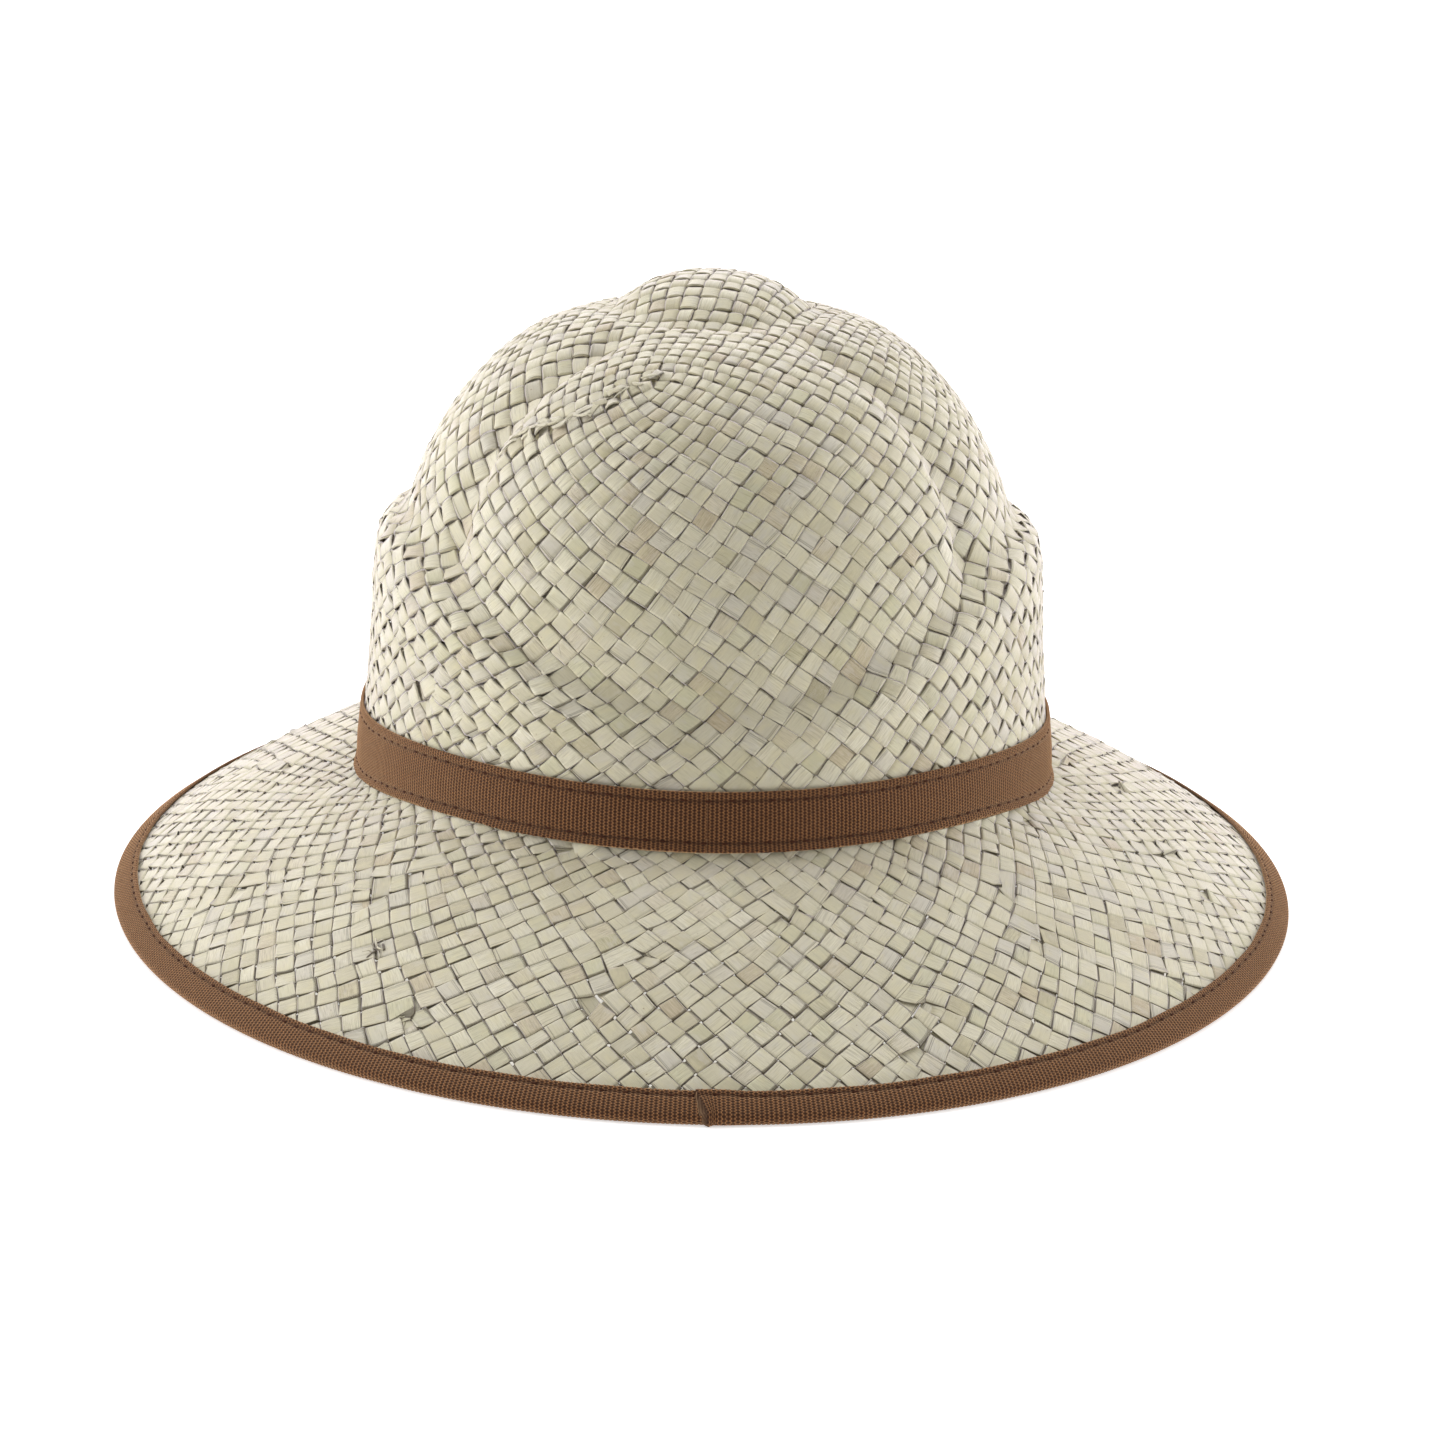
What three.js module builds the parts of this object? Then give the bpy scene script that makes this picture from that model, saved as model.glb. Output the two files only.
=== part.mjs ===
// Pith helmet in plaited straw: one woven hat body (crown and brim in one
// piece, hollow underneath), a ribbon band round the foot of the crown, and a
// ribbon binding folded over the edge of the brim.
// Millimetres. Origin at the centre of the hat on the surface it rests on,
// +Z up, front of the hat towards -Y, wearer's left and right on X.

import * as THREE from 'three';

// ---------------------------------------------------------------- dimensions
const STRAW_WALL = 1.4;        // thickness of the plaited straw
const GAP = 0.3;               // clearance kept between ribbon and straw
const RIBBON = 0.7;            // thickness of the grosgrain ribbon
const BINDING_WIDTH = 5.9;     // visible width of the binding on each face
const STRAW_END = 25.94;       // profile station where the straw stops
const BAND_TOP = 19;           // profile station of the hatband's upper edge
const BAND_BOTTOM = 21;        // profile station of the hatband's lower edge
const GROOVE_DEPTH = 2.4;      // narrow pinch between two lobes of the crown
const GROOVE_WIDTH = 5.0;
const HOLLOW_DEPTH = 1.6;      // wider fall of the crown towards each pinch
const HOLLOW_WIDTH = 17.0;

// One row for each section of the hat's outer face, from the top outwards:
// half-width and height on the side meridian, half-length and height on the
// front and back meridian.
const SECTIONS = [
  // side_r side_z front_r front_z
  [0.0, 152.4, 0.0, 152.4],      //  0 top of the cap
  [8.6, 151.7, 9.2, 151.6],
  [15.9, 149.3, 17.2, 148.9],
  [20.9, 146.0, 23.0, 145.4],
  [25.2, 143.2, 28.0, 142.6],    //  4 foot of the cap
  [31.6, 142.4, 35.0, 141.9],
  [40.4, 139.5, 46.0, 139.0],
  [49.0, 134.0, 57.5, 133.2],
  [56.8, 126.8, 67.8, 125.4],
  [63.4, 118.4, 76.4, 115.6],
  [68.5, 109.6, 83.8, 104.0],
  [71.8, 102.4, 90.0, 90.5],
  [73.4, 97.4, 93.6, 77.0],
  [75.2, 94.4, 94.9, 68.6],      // 13 crease under the lobes
  [78.6, 92.4, 98.2, 64.8],
  [81.3, 88.4, 100.4, 61.6],     // 15 shoulder of the drum
  [82.4, 80.0, 101.2, 59.4],
  [83.0, 68.0, 101.5, 57.0],
  [83.8, 56.5, 101.9, 54.4],
  [84.6, 46.0, 102.5, 51.6],     // 19 upper edge of the band
  [85.3, 37.5, 103.4, 44.8],
  [86.6, 29.0, 105.4, 38.0],     // 21 lower edge of the band
  [94.0, 26.6, 112.6, 34.4],
  [107.0, 22.6, 126.6, 27.4],
  [122.0, 16.4, 142.6, 18.8],
  [136.0, 8.4, 158.8, 9.2],
  [145.9, 1.6, 171.0, 1.5],      // 26 edge of the brim
];
const SIDE_R = 0, SIDE_Z = 1, FRONT_R = 2, FRONT_Z = 3;
const LAST = SECTIONS.length - 1;

// Stations at which the straw is cut into rows of facets: closer together at
// the cap, the crease, the band and the edge.
const ROW_STATIONS = [
  0.7, 1.4, 2.2, 3, 3.6, 4, 4.5, 5.2, 6, 7, 8, 9, 10, 11, 12, 12.6, 13, 13.5,
  14, 14.6, 15.2, 16, 17, 18, 19, 19.5, 20, 20.5, 21, 21.5, 22, 22.7, 23.5,
  24.3, 25, 25.6, STRAW_END,
];
const ROWS = ROW_STATIONS.length;

// Direction of the pinch between the front and side lobes, in degrees from the
// front, at each of these stations.
const PINCH = [
  // station, degrees
  [4.5, 40], [6, 45], [7, 51], [8, 55], [10, 57], [13, 57],
];

// ---------------------------------------------------------------- the surface
const clamp01 = (v) => Math.min(1, Math.max(0, v));
const smooth = (v) => { const t = clamp01(v); return t * t * (3 - 2 * t); };

// smooth curve through one column of the section table
function section(u, column) {
  const s = Math.min(Math.max(u, 0), LAST);
  const i = Math.min(Math.floor(s), LAST - 1), t = s - i;
  const at = (k) => {
    if (k < 0) return column === SIDE_Z || column === FRONT_Z ? SECTIONS[1][column] : -SECTIONS[1][column];
    if (k > LAST) return 2 * SECTIONS[LAST][column] - SECTIONS[LAST - 1][column];
    return SECTIONS[k][column];
  };
  const p0 = at(i - 1), p1 = at(i), p2 = at(i + 1), p3 = at(i + 2);
  return 0.5 * (2 * p1 + (p2 - p0) * t + (2 * p0 - 5 * p1 + 4 * p2 - p3) * t * t
    + (3 * p1 - p0 - 3 * p2 + p3) * t * t * t);
}

function pinchAngle(u) {
  if (u <= PINCH[0][0]) return PINCH[0][1] * Math.PI / 180;
  for (let k = 1; k < PINCH.length; k++) {
    if (u <= PINCH[k][0]) {
      const t = (u - PINCH[k - 1][0]) / (PINCH[k][0] - PINCH[k - 1][0]);
      return (PINCH[k - 1][1] + t * (PINCH[k][1] - PINCH[k - 1][1])) * Math.PI / 180;
    }
  }
  return PINCH[PINCH.length - 1][1] * Math.PI / 180;
}

// how much of the front meridian's height a direction takes: the crease under
// the lobes dips at front and back, the band stays nearly level
function frontShare(phi, u) {
  const crown = Math.abs(Math.cos(phi)) ** 2.5;
  const band = 1 - Math.sin(phi) ** 6;
  const brim = Math.cos(phi) ** 2;
  const toBand = smooth((u - 15) / 4), toBrim = clamp01((u - 21) / 3);
  return crown * (1 - toBand) + toBand * (band * (1 - toBrim) + brim * toBrim);
}

// a point of the hat's outer face: phi from the front, u from the top outwards
function outer(phi, u) {
  const w = frontShare(phi, u);
  const a = section(u, SIDE_R), b = section(u, FRONT_R);
  const z = section(u, SIDE_Z) * (1 - w) + section(u, FRONT_Z) * w;
  const fade = smooth(clamp01((u - 4.4) / 1.6) * clamp01((13.2 - u) / 1.6));
  let d = Math.abs(((phi + Math.PI) % (2 * Math.PI)) - Math.PI);
  if (d > Math.PI / 2) d = Math.PI - d;
  const x = (d - pinchAngle(u)) * Math.hypot(a * Math.sin(phi), b * Math.cos(phi));
  const depth = fade * (GROOVE_DEPTH * Math.exp(-((x / GROOVE_WIDTH) ** 2))
    + HOLLOW_DEPTH * Math.exp(-((x / HOLLOW_WIDTH) ** 2)));
  const e = 1e-3;
  const da = section(u + e, SIDE_R) - section(u - e, SIDE_R);
  const dz = section(u + e, SIDE_Z) - section(u - e, SIDE_Z);
  const n = Math.hypot(da, dz) + 1e-9;
  const nr = -dz / n, nz = da / n;
  return new THREE.Vector3(
    (a - depth * nr) * Math.sin(phi), -(b - depth * nr) * Math.cos(phi), z - depth * nz);
}

// outward normal of the outer face
function normal(phi, u) {
  if (u < 0.02) return new THREE.Vector3(0, 0, 1);
  const e = 2e-3, f = 0.02, lo = Math.max(u - f, 0.001), hi = Math.min(u + f, LAST);
  const du = outer(phi, hi).sub(outer(phi, lo));
  const dp = outer(phi + e, u).sub(outer(phi - e, u));
  return dp.cross(du).normalize().negate();
}

// directions from the front at which the hat is cut into facets, gathered
// round the pinch so that the facets follow it
const BEFORE = [0, 0.2, 0.4, 0.58, 0.74, 0.86, 0.94, 1];   // share of the pinch angle
const AFTER = [0.12, 0.3, 0.55, 0.8];                       // share of the rest up to the side
function directions(u) {
  const g = pinchAngle(u), q = [];
  for (const f of BEFORE) q.push(g * f);
  for (const f of AFTER) q.push(g + (Math.PI / 2 - g) * f);
  const out = [...q, Math.PI / 2];
  for (let k = q.length - 1; k > 0; k--) out.push(Math.PI - q[k]);
  for (const f of q) out.push(Math.PI + f);
  out.push(1.5 * Math.PI);
  for (let k = q.length - 1; k > 0; k--) out.push(2 * Math.PI - q[k]);
  return out;
}

// ---------------------------------------------------------------- mesh helpers
function geometryOf(points, faces) {
  const g = new THREE.BufferGeometry();
  const xyz = new Float32Array(points.length * 3);
  points.forEach((p, i) => { xyz[3 * i] = p.x; xyz[3 * i + 1] = p.y; xyz[3 * i + 2] = p.z; });
  g.setAttribute('position', new THREE.BufferAttribute(xyz, 3));
  g.setIndex(faces);
  g.computeVertexNormals();
  return g;
}

// a ring made by carrying a closed section round the hat: rings[j] is the
// section at direction j, its points going round the section
function closedRing(rings) {
  const points = [], faces = [], m = rings[0].length, n = rings.length;
  for (const ring of rings) points.push(...ring);
  for (let j = 0; j < n; j++) {
    const k = (j + 1) % n;
    for (let i = 0; i < m; i++) {
      const h = (i + 1) % m;
      const a = j * m + i, b = j * m + h, c = k * m + h, d = k * m + i;
      faces.push(a, b, c, a, c, d);
    }
  }
  return geometryOf(points, faces);
}

// ---------------------------------------------------------------- straw body
function strawBody() {
  const points = [], faces = [];
  const top = points.push(outer(0, 0)) - 1;
  const under = points.push(outer(0, 0).setZ(SECTIONS[0][SIDE_Z] - STRAW_WALL)) - 1;
  const columns = directions(0).length;
  const outerRow = [], innerRow = [];
  for (const u of ROW_STATIONS) {
    const o = [], n = [];
    for (const phi of directions(u)) {
      const p = outer(phi, u);
      o.push(points.push(p) - 1);
      n.push(points.push(p.clone().addScaledVector(normal(phi, u), -STRAW_WALL)) - 1);
    }
    outerRow.push(o); innerRow.push(n);
  }
  for (let c = 0; c < columns; c++) {
    const d = (c + 1) % columns;
    faces.push(top, outerRow[0][c], outerRow[0][d]);
    faces.push(under, innerRow[0][d], innerRow[0][c]);
    for (let r = 0; r + 1 < ROWS; r++) {
      const [a, b, e, f] = [outerRow[r][c], outerRow[r + 1][c], outerRow[r + 1][d], outerRow[r][d]];
      faces.push(a, b, e, a, e, f);
      const [g, h, i, k] = [innerRow[r][c], innerRow[r + 1][c], innerRow[r + 1][d], innerRow[r][d]];
      faces.push(g, i, h, g, k, i);
    }
    const L = ROWS - 1;
    const [a, b, e, f] = [outerRow[L][c], innerRow[L][c], innerRow[L][d], outerRow[L][d]];
    faces.push(a, b, e, a, e, f);
  }
  return geometryOf(points, faces);
}

// ---------------------------------------------------------------- hatband
const BAND_STEPS = 4;
function hatband() {
  const rings = directions(BAND_TOP).map((phi) => {
    const ring = [];
    for (let k = 0; k <= BAND_STEPS; k++) {
      const u = BAND_TOP + (BAND_BOTTOM - BAND_TOP) * k / BAND_STEPS;
      ring.push(outer(phi, u).addScaledVector(normal(phi, u), GAP + 0.05 + RIBBON));
    }
    for (let k = BAND_STEPS; k >= 0; k--) {
      const u = BAND_TOP + (BAND_BOTTOM - BAND_TOP) * k / BAND_STEPS;
      ring.push(outer(phi, u).addScaledVector(normal(phi, u), GAP + 0.05));
    }
    return ring;
  });
  return closedRing(rings);
}

// ---------------------------------------------------------------- brim binding
// The tape is folded round the edge: its section is a U that lies along the
// slope of the brim, its lowest part pressed flat where the hat rests. s runs
// outwards along the slope from the straw's edge and n is height above the
// middle of the straw's thickness.
const FOLD_STEPS = 6;
function brimBinding() {
  const inside = STRAW_WALL / 2 + GAP, outside = inside + RIBBON;
  const rings = directions(LAST).map((phi) => {
    const edge = outer(phi, STRAW_END), up = normal(phi, STRAW_END);
    const out = edge.clone().sub(outer(phi, STRAW_END - 0.3));
    out.addScaledVector(up, -out.dot(up)).normalize();
    const place = (s, n) => {
      const p = edge.clone().addScaledVector(up, n - STRAW_WALL / 2).addScaledVector(out, s);
      p.z = Math.max(p.z, 0);
      return p;
    };
    const ring = [];
    const turn = (r, k) => Math.PI / 2 - Math.PI * k / FOLD_STEPS;
    ring.push(place(-BINDING_WIDTH, outside));
    ring.push(place(-BINDING_WIDTH / 2, outside));
    for (let k = 0; k <= FOLD_STEPS; k++) {
      const t = turn(outside, k);
      ring.push(place(outside * Math.cos(t) * 0.85, outside * Math.sin(t)));
    }
    ring.push(place(-BINDING_WIDTH / 2, -outside));
    ring.push(place(-BINDING_WIDTH, -outside));
    ring.push(place(-BINDING_WIDTH, -inside));
    ring.push(place(-BINDING_WIDTH / 2, -inside));
    ring.push(place(GAP, -inside));
    ring.push(place(GAP + 0.25, 0));
    ring.push(place(GAP, inside));
    ring.push(place(-BINDING_WIDTH / 2, inside));
    ring.push(place(-BINDING_WIDTH, inside));
    return ring;
  });
  return closedRing(rings);
}

// ---------------------------------------------------------------- assembly
const straw = new THREE.MeshStandardMaterial({ color: 0xcdc7b1, roughness: 0.62, metalness: 0 });
const ribbon = new THREE.MeshStandardMaterial({ color: 0x7c4e36, roughness: 0.85, metalness: 0 });

const hat = new THREE.Group();
hat.name = 'pith_helmet';
function add(name, geometry, material) {
  const mesh = new THREE.Mesh(geometry, material);
  mesh.name = name;
  hat.add(mesh);
}
add('straw_body', strawBody(), straw);
add('hatband', hatband(), ribbon);
add('brim_binding', brimBinding(), ribbon);

export default hat;
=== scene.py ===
import math
import bpy
import numpy as np
from mathutils import Matrix, Vector


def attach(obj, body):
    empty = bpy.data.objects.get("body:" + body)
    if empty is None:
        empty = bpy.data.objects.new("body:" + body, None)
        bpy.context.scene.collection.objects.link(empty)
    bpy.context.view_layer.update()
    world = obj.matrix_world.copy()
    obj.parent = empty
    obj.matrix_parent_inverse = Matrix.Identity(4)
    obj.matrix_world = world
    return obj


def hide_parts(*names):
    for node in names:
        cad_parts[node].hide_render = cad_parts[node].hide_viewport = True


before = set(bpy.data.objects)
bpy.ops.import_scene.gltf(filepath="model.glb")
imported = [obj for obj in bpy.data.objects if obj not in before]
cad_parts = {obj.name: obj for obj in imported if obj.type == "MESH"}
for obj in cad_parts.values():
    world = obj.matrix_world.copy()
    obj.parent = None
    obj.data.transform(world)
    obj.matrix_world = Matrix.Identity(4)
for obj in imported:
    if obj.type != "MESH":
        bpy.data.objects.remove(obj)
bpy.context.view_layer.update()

MM = 0.001
TAU = 2 * math.pi
rng = np.random.default_rng(20431)

# ------------------------------------------------------------------ the surface
# The hat's outer face, as the CAD has it: one row per section from the top
# outwards, with half-width and height at the side, half-length and height at
# the front. Millimetres.
SECTIONS = np.array([
    # side_r side_z front_r front_z
    (0.0, 152.4, 0.0, 152.4),
    (8.6, 151.7, 9.2, 151.6),
    (15.9, 149.3, 17.2, 148.9),
    (20.9, 146.0, 23.0, 145.4),
    (25.2, 143.2, 28.0, 142.6),
    (31.6, 142.4, 35.0, 141.9),
    (40.4, 139.5, 46.0, 139.0),
    (49.0, 134.0, 57.5, 133.2),
    (56.8, 126.8, 67.8, 125.4),
    (63.4, 118.4, 76.4, 115.6),
    (68.5, 109.6, 83.8, 104.0),
    (71.8, 102.4, 90.0, 90.5),
    (73.4, 97.4, 93.6, 77.0),
    (75.2, 94.4, 94.9, 68.6),
    (78.6, 92.4, 98.2, 64.8),
    (81.3, 88.4, 100.4, 61.6),
    (82.4, 80.0, 101.2, 59.4),
    (83.0, 68.0, 101.5, 57.0),
    (83.8, 56.5, 101.9, 54.4),
    (84.6, 46.0, 102.5, 51.6),
    (85.3, 37.5, 103.4, 44.8),
    (86.6, 29.0, 105.4, 38.0),
    (94.0, 26.6, 112.6, 34.4),
    (107.0, 22.6, 126.6, 27.4),
    (122.0, 16.4, 142.6, 18.8),
    (136.0, 8.4, 158.8, 9.2),
    (145.9, 1.6, 171.0, 1.5),
])
SIDE_R, SIDE_Z, FRONT_R, FRONT_Z = range(4)
LAST = len(SECTIONS) - 1
STRAW_WALL = 1.4
STRAW_END = 25.94
BAND_TOP, BAND_BOTTOM = 19.0, 21.0
BINDING_WIDTH = 5.9
GROOVE_DEPTH, GROOVE_WIDTH = 2.4, 5.0
HOLLOW_DEPTH, HOLLOW_WIDTH = 1.6, 17.0
PINCH_STATION = [4.5, 6, 7, 8, 10, 13]
PINCH_DEGREES = [40, 45, 51, 55, 57, 57]
OVAL_SIDE, OVAL_FRONT = 85.3, 103.0     # the oval that directions are spaced on


def clamp01(v):
    return np.clip(v, 0.0, 1.0)


def smooth(v):
    t = clamp01(v)
    return t * t * (3 - 2 * t)


def section(u, column):
    s = np.clip(u, 0, LAST)
    i = np.minimum(s.astype(int), LAST - 1)
    t = s - i
    c = SECTIONS[:, column]
    before = c[1] if column in (SIDE_Z, FRONT_Z) else -c[1]
    e = np.concatenate([[before], c, [2 * c[-1] - c[-2]]])
    p0, p1, p2, p3 = e[i], e[i + 1], e[i + 2], e[i + 3]
    return 0.5 * (2 * p1 + (p2 - p0) * t + (2 * p0 - 5 * p1 + 4 * p2 - p3) * t * t
                  + (3 * p1 - p0 - 3 * p2 + p3) * t ** 3)


def outer(phi, u):
    """Points of the outer face: phi from the front, u the section, from the top outwards."""
    phi, u = np.broadcast_arrays(np.asarray(phi, float), np.asarray(u, float))
    crown = np.abs(np.cos(phi)) ** 2.5
    band = 1 - np.sin(phi) ** 6
    to_band, to_brim = smooth((u - 15) / 4), clamp01((u - 21) / 3)
    w = crown * (1 - to_band) + to_band * (band * (1 - to_brim) + np.cos(phi) ** 2 * to_brim)
    a, b = section(u, SIDE_R), section(u, FRONT_R)
    z = section(u, SIDE_Z) * (1 - w) + section(u, FRONT_Z) * w
    fade = smooth(clamp01((u - 4.4) / 1.6) * clamp01((13.2 - u) / 1.6))
    d = np.abs(((phi + np.pi) % TAU) - np.pi)
    d = np.where(d > np.pi / 2, np.pi - d, d)
    x = (d - np.radians(np.interp(u, PINCH_STATION, PINCH_DEGREES))) * np.hypot(a * np.sin(phi), b * np.cos(phi))
    depth = fade * (GROOVE_DEPTH * np.exp(-(x / GROOVE_WIDTH) ** 2) + HOLLOW_DEPTH * np.exp(-(x / HOLLOW_WIDTH) ** 2))
    e = 1e-3
    da = section(u + e, SIDE_R) - section(u - e, SIDE_R)
    dz = section(u + e, SIDE_Z) - section(u - e, SIDE_Z)
    n = np.hypot(da, dz) + 1e-9
    nr, nz = -dz / n, da / n
    return np.stack([(a - depth * nr) * np.sin(phi), -(b - depth * nr) * np.cos(phi), z - depth * nz], -1)


def unit(v):
    return v / (np.linalg.norm(v, axis=-1, keepdims=True) + 1e-12)


def normal(phi, u):
    phi, u = np.broadcast_arrays(np.asarray(phi, float), np.asarray(u, float))
    e, f = 2e-3, 0.02
    lo, hi = np.maximum(u - f, 1e-3), np.minimum(u + f, LAST)
    n = -unit(np.cross(outer(phi + e, u) - outer(phi - e, u), outer(phi, hi) - outer(phi, lo)))
    return np.where((u < 0.02)[..., None], np.array([0, 0, 1.0]), n)


# Directions round the hat are spaced evenly by length along the oval.
_phi = np.linspace(0, TAU, 14401)
_arc = np.concatenate([[0], np.cumsum(np.hypot(OVAL_SIDE * np.cos((_phi[1:] + _phi[:-1]) / 2),
                                              OVAL_FRONT * np.sin((_phi[1:] + _phi[:-1]) / 2)) * np.diff(_phi))])
_theta = TAU * _arc / _arc[-1]


def phi_of(theta):
    turns = np.floor(theta / TAU)
    return np.interp(theta - turns * TAU, _theta, _phi) + turns * TAU


# A map of the middle of the plait: T runs 0 to 1 down the crown to the band
# and 1 to 2 from there to the brim's edge, evenly by length on each meridian.
AROUND, DOWN_CROWN, DOWN_BRIM = 720, 700, 320
MID_CROWN = 20.0


def build_map():
    theta = np.arange(AROUND) * TAU / AROUND
    phi = phi_of(theta)
    stations = np.zeros((DOWN_CROWN + DOWN_BRIM + 1, AROUND))
    length = np.zeros(2)
    for part, (lo, hi, steps, rows) in enumerate(((0.0, MID_CROWN, 1600, DOWN_CROWN), (MID_CROWN, STRAW_END, 600, DOWN_BRIM))):
        s = np.linspace(lo, hi, steps + 1)
        p = outer(phi[None, :], s[:, None])
        run = np.concatenate([np.zeros((1, AROUND)), np.cumsum(np.linalg.norm(np.diff(p, axis=0), axis=-1), axis=0)])
        length[part] = run[-1].mean()
        row = part * DOWN_CROWN
        even = np.linspace(0, 1, rows + 1)
        for j in range(AROUND):
            stations[row:row + rows + 1, j] = np.interp(even * run[-1, j], run[:, j], s)
    p = outer(phi[None, :], stations)
    n = normal(phi[None, :], stations)
    mid = p - n * (STRAW_WALL / 2)
    around = np.linalg.norm(np.diff(np.concatenate([mid, mid[:, :1]], 1), axis=1), axis=-1).sum(1) / TAU
    down = np.concatenate([[0], np.cumsum(np.linalg.norm(np.diff(mid, axis=0), axis=-1).mean(1))])
    return mid, n, around, down


MID, NORMAL, MEAN_R, RUN = build_map()
MID = np.concatenate([MID, MID[:, :1]], 1)
NORMAL = np.concatenate([NORMAL, NORMAL[:, :1]], 1)

# f: the level at which a plait of evenly spread strands crosses at its own
# angle; rho = e^f. The plait is square on the cap, flatter on the drum and
# steeper on the brim.
KAPPA = np.where(np.arange(len(MEAN_R)) <= DOWN_CROWN,
                 np.interp(MEAN_R, [45, 62, 75, 86, 93], [1.0, 0.95, 0.84, 0.74, 0.70]),
                 np.interp(MEAN_R, [94, 100], [0.74, 0.87]))
_df = np.diff(RUN) / ((KAPPA[1:] + KAPPA[:-1]) / 2 * (MEAN_R[1:] + MEAN_R[:-1]) / 2)
LEVEL = np.concatenate([[0, math.log(MEAN_R[1])], math.log(MEAN_R[1]) + np.cumsum(_df[1:])])
RHO = np.exp(LEVEL)
RHO[0] = 0.0


def row_of(f):
    return np.interp(np.exp(f), RHO, np.arange(len(RHO)))


# A round plait was pressed over an oval block: lower down, the strands lie
# closer together at the front and back than at the sides.
CROWDING = 0.083


def direction_of(turn, rows):
    share = CROWDING * smooth((rows / DOWN_CROWN - 0.42) / 0.36)
    theta = turn
    for _ in range(5):
        theta = turn - share * np.sin(2 * theta)
    return theta


# Pressing the front lobe also turned the plait on it a little, seen from the
# front.
SWIRL_TURN = math.radians(12.0)
SWIRL_ROW, SWIRL_REACH = 0.64, 66.0            # share of the way down the crown, mm
SWIRL_ACROSS, SWIRL_DOWN = 77.0, 165.0         # mm per radian and per crown height


def swirl(theta, rows):
    side = (theta + np.pi) % TAU - np.pi
    x = side * SWIRL_ACROSS
    y = (SWIRL_ROW - rows / DOWN_CROWN) * SWIRL_DOWN
    a = SWIRL_TURN * np.exp(-(x * x + y * y) / SWIRL_REACH ** 2) * smooth((rows / DOWN_CROWN - 0.03) / 0.25)
    nx, ny = x * np.cos(a) - y * np.sin(a), x * np.sin(a) + y * np.cos(a)
    return theta + (nx - x) / SWIRL_ACROSS, np.clip(rows - (ny - y) / SWIRL_DOWN * DOWN_CROWN, 0, len(RHO) - 1.0001)


# Near each of its four corners the plait is drawn out a little, so that the
# cells there stay almost as large as elsewhere.
CORNER_EVEN, CORNER_REACH = 26.0, 40.0
ROWS = np.arange(len(RUN))


def drawn_out(theta, rows):
    run = np.interp(rows, ROWS, RUN)
    middle = float(np.interp(F_CORNER, LEVEL, RUN))
    for k in range(4):
        x = ((theta - CORNER_TURN - k * np.pi / 2 + np.pi) % TAU - np.pi) * CORNER_RADIUS
        y = run - middle
        away = np.hypot(x, y) + 1e-6
        grow = (CORNER_EVEN / away) ** (0.2 * (1 - smooth(away / CORNER_REACH))) - 1
        theta, run = theta + x * grow / CORNER_RADIUS, run + y * grow
    return theta, np.interp(run, RUN, ROWS)


# No strip lies quite true: the whole plait wanders by a fraction of a strip.
WANDER, WANDER_SHORT, WANDER_LONG, WANDER_WAVES = 0.20, 9.0, 22.0, 36


def wander_map():
    r = np.random.default_rng(77)
    out = []
    for _ in range(2):
        total = np.zeros(MID.shape[:2])
        for _ in range(WANDER_WAVES):
            way = r.normal(size=3)
            way *= TAU / r.uniform(WANDER_SHORT, WANDER_LONG) / np.linalg.norm(way)
            total += np.sin(MID @ way + r.uniform(0, TAU))
        out.append(total * WANDER * math.sqrt(2 / WANDER_WAVES))
    top = smooth((MEAN_R - 6) / 20)[:, None]
    edge = smooth((RUN[-1] - RUN) / 6)[:, None]
    return out[0] * top / np.maximum(MEAN_R, 8)[:, None], out[1] * top * edge / np.gradient(RUN)[:, None]


WANDER_ROUND, WANDER_DOWN = wander_map()


def at(grid, theta, f):
    r = np.clip(row_of(f), 0, len(RHO) - 1.0001)
    theta, r = drawn_out(theta, r)
    turned, r = swirl(direction_of(theta, r), r)
    turned, r = turned + between(WANDER_ROUND, turned, r), r + between(WANDER_DOWN, turned, r)
    return between(grid, turned, np.clip(r, 0, len(RHO) - 1.0001))


def between(grid, turned, r):
    c = (turned / TAU % 1.0) * AROUND
    i, j = r.astype(int), np.minimum(c.astype(int), AROUND - 1)
    a, b = r - i, c - j
    if grid.ndim == 3:
        a, b = a[..., None], b[..., None]
    return ((grid[i, j] * (1 - b) + grid[i, j + 1] * b) * (1 - a)
            + (grid[i + 1, j] * (1 - b) + grid[i + 1, j + 1] * b) * a)


# ------------------------------------------------------------------ the plait
# Two families of strands. STRANDS_TOP of each start at the top, where four
# corners let the flat square plait of the cap turn down into the crown. More
# strands are laid in pairs as the hat widens.
STRANDS_TOP = 64
ADDED = [
    # how many pairs, from mean radius, to mean radius, on the brim
    (3, 82.0, 93.0, False),
    (10, 94.1, 95.7, False),
    (20, 99.0, 156.0, True),
]
PAIR = 2
STRANDS_EDGE = STRANDS_TOP + PAIR * sum(a[0] for a in ADDED)
CORNER_TURN = math.radians(-11.0)
CORNER_RADIUS = 53.0
JOIN_RADIUS = 70.0
GOLDEN = (math.sqrt(5) - 1) / 2

F_EDGE = LEVEL[-1]
F_CORNER = float(np.interp(CORNER_RADIUS, MEAN_R[:DOWN_CROWN], LEVEL[:DOWN_CROWN]))
F_JOIN = float(np.interp(JOIN_RADIUS, MEAN_R[:DOWN_CROWN], LEVEL[:DOWN_CROWN]))
CORNER = math.exp(F_CORNER)
MEAN_COUNT = (STRANDS_TOP + STRANDS_EDGE) / 2


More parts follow.
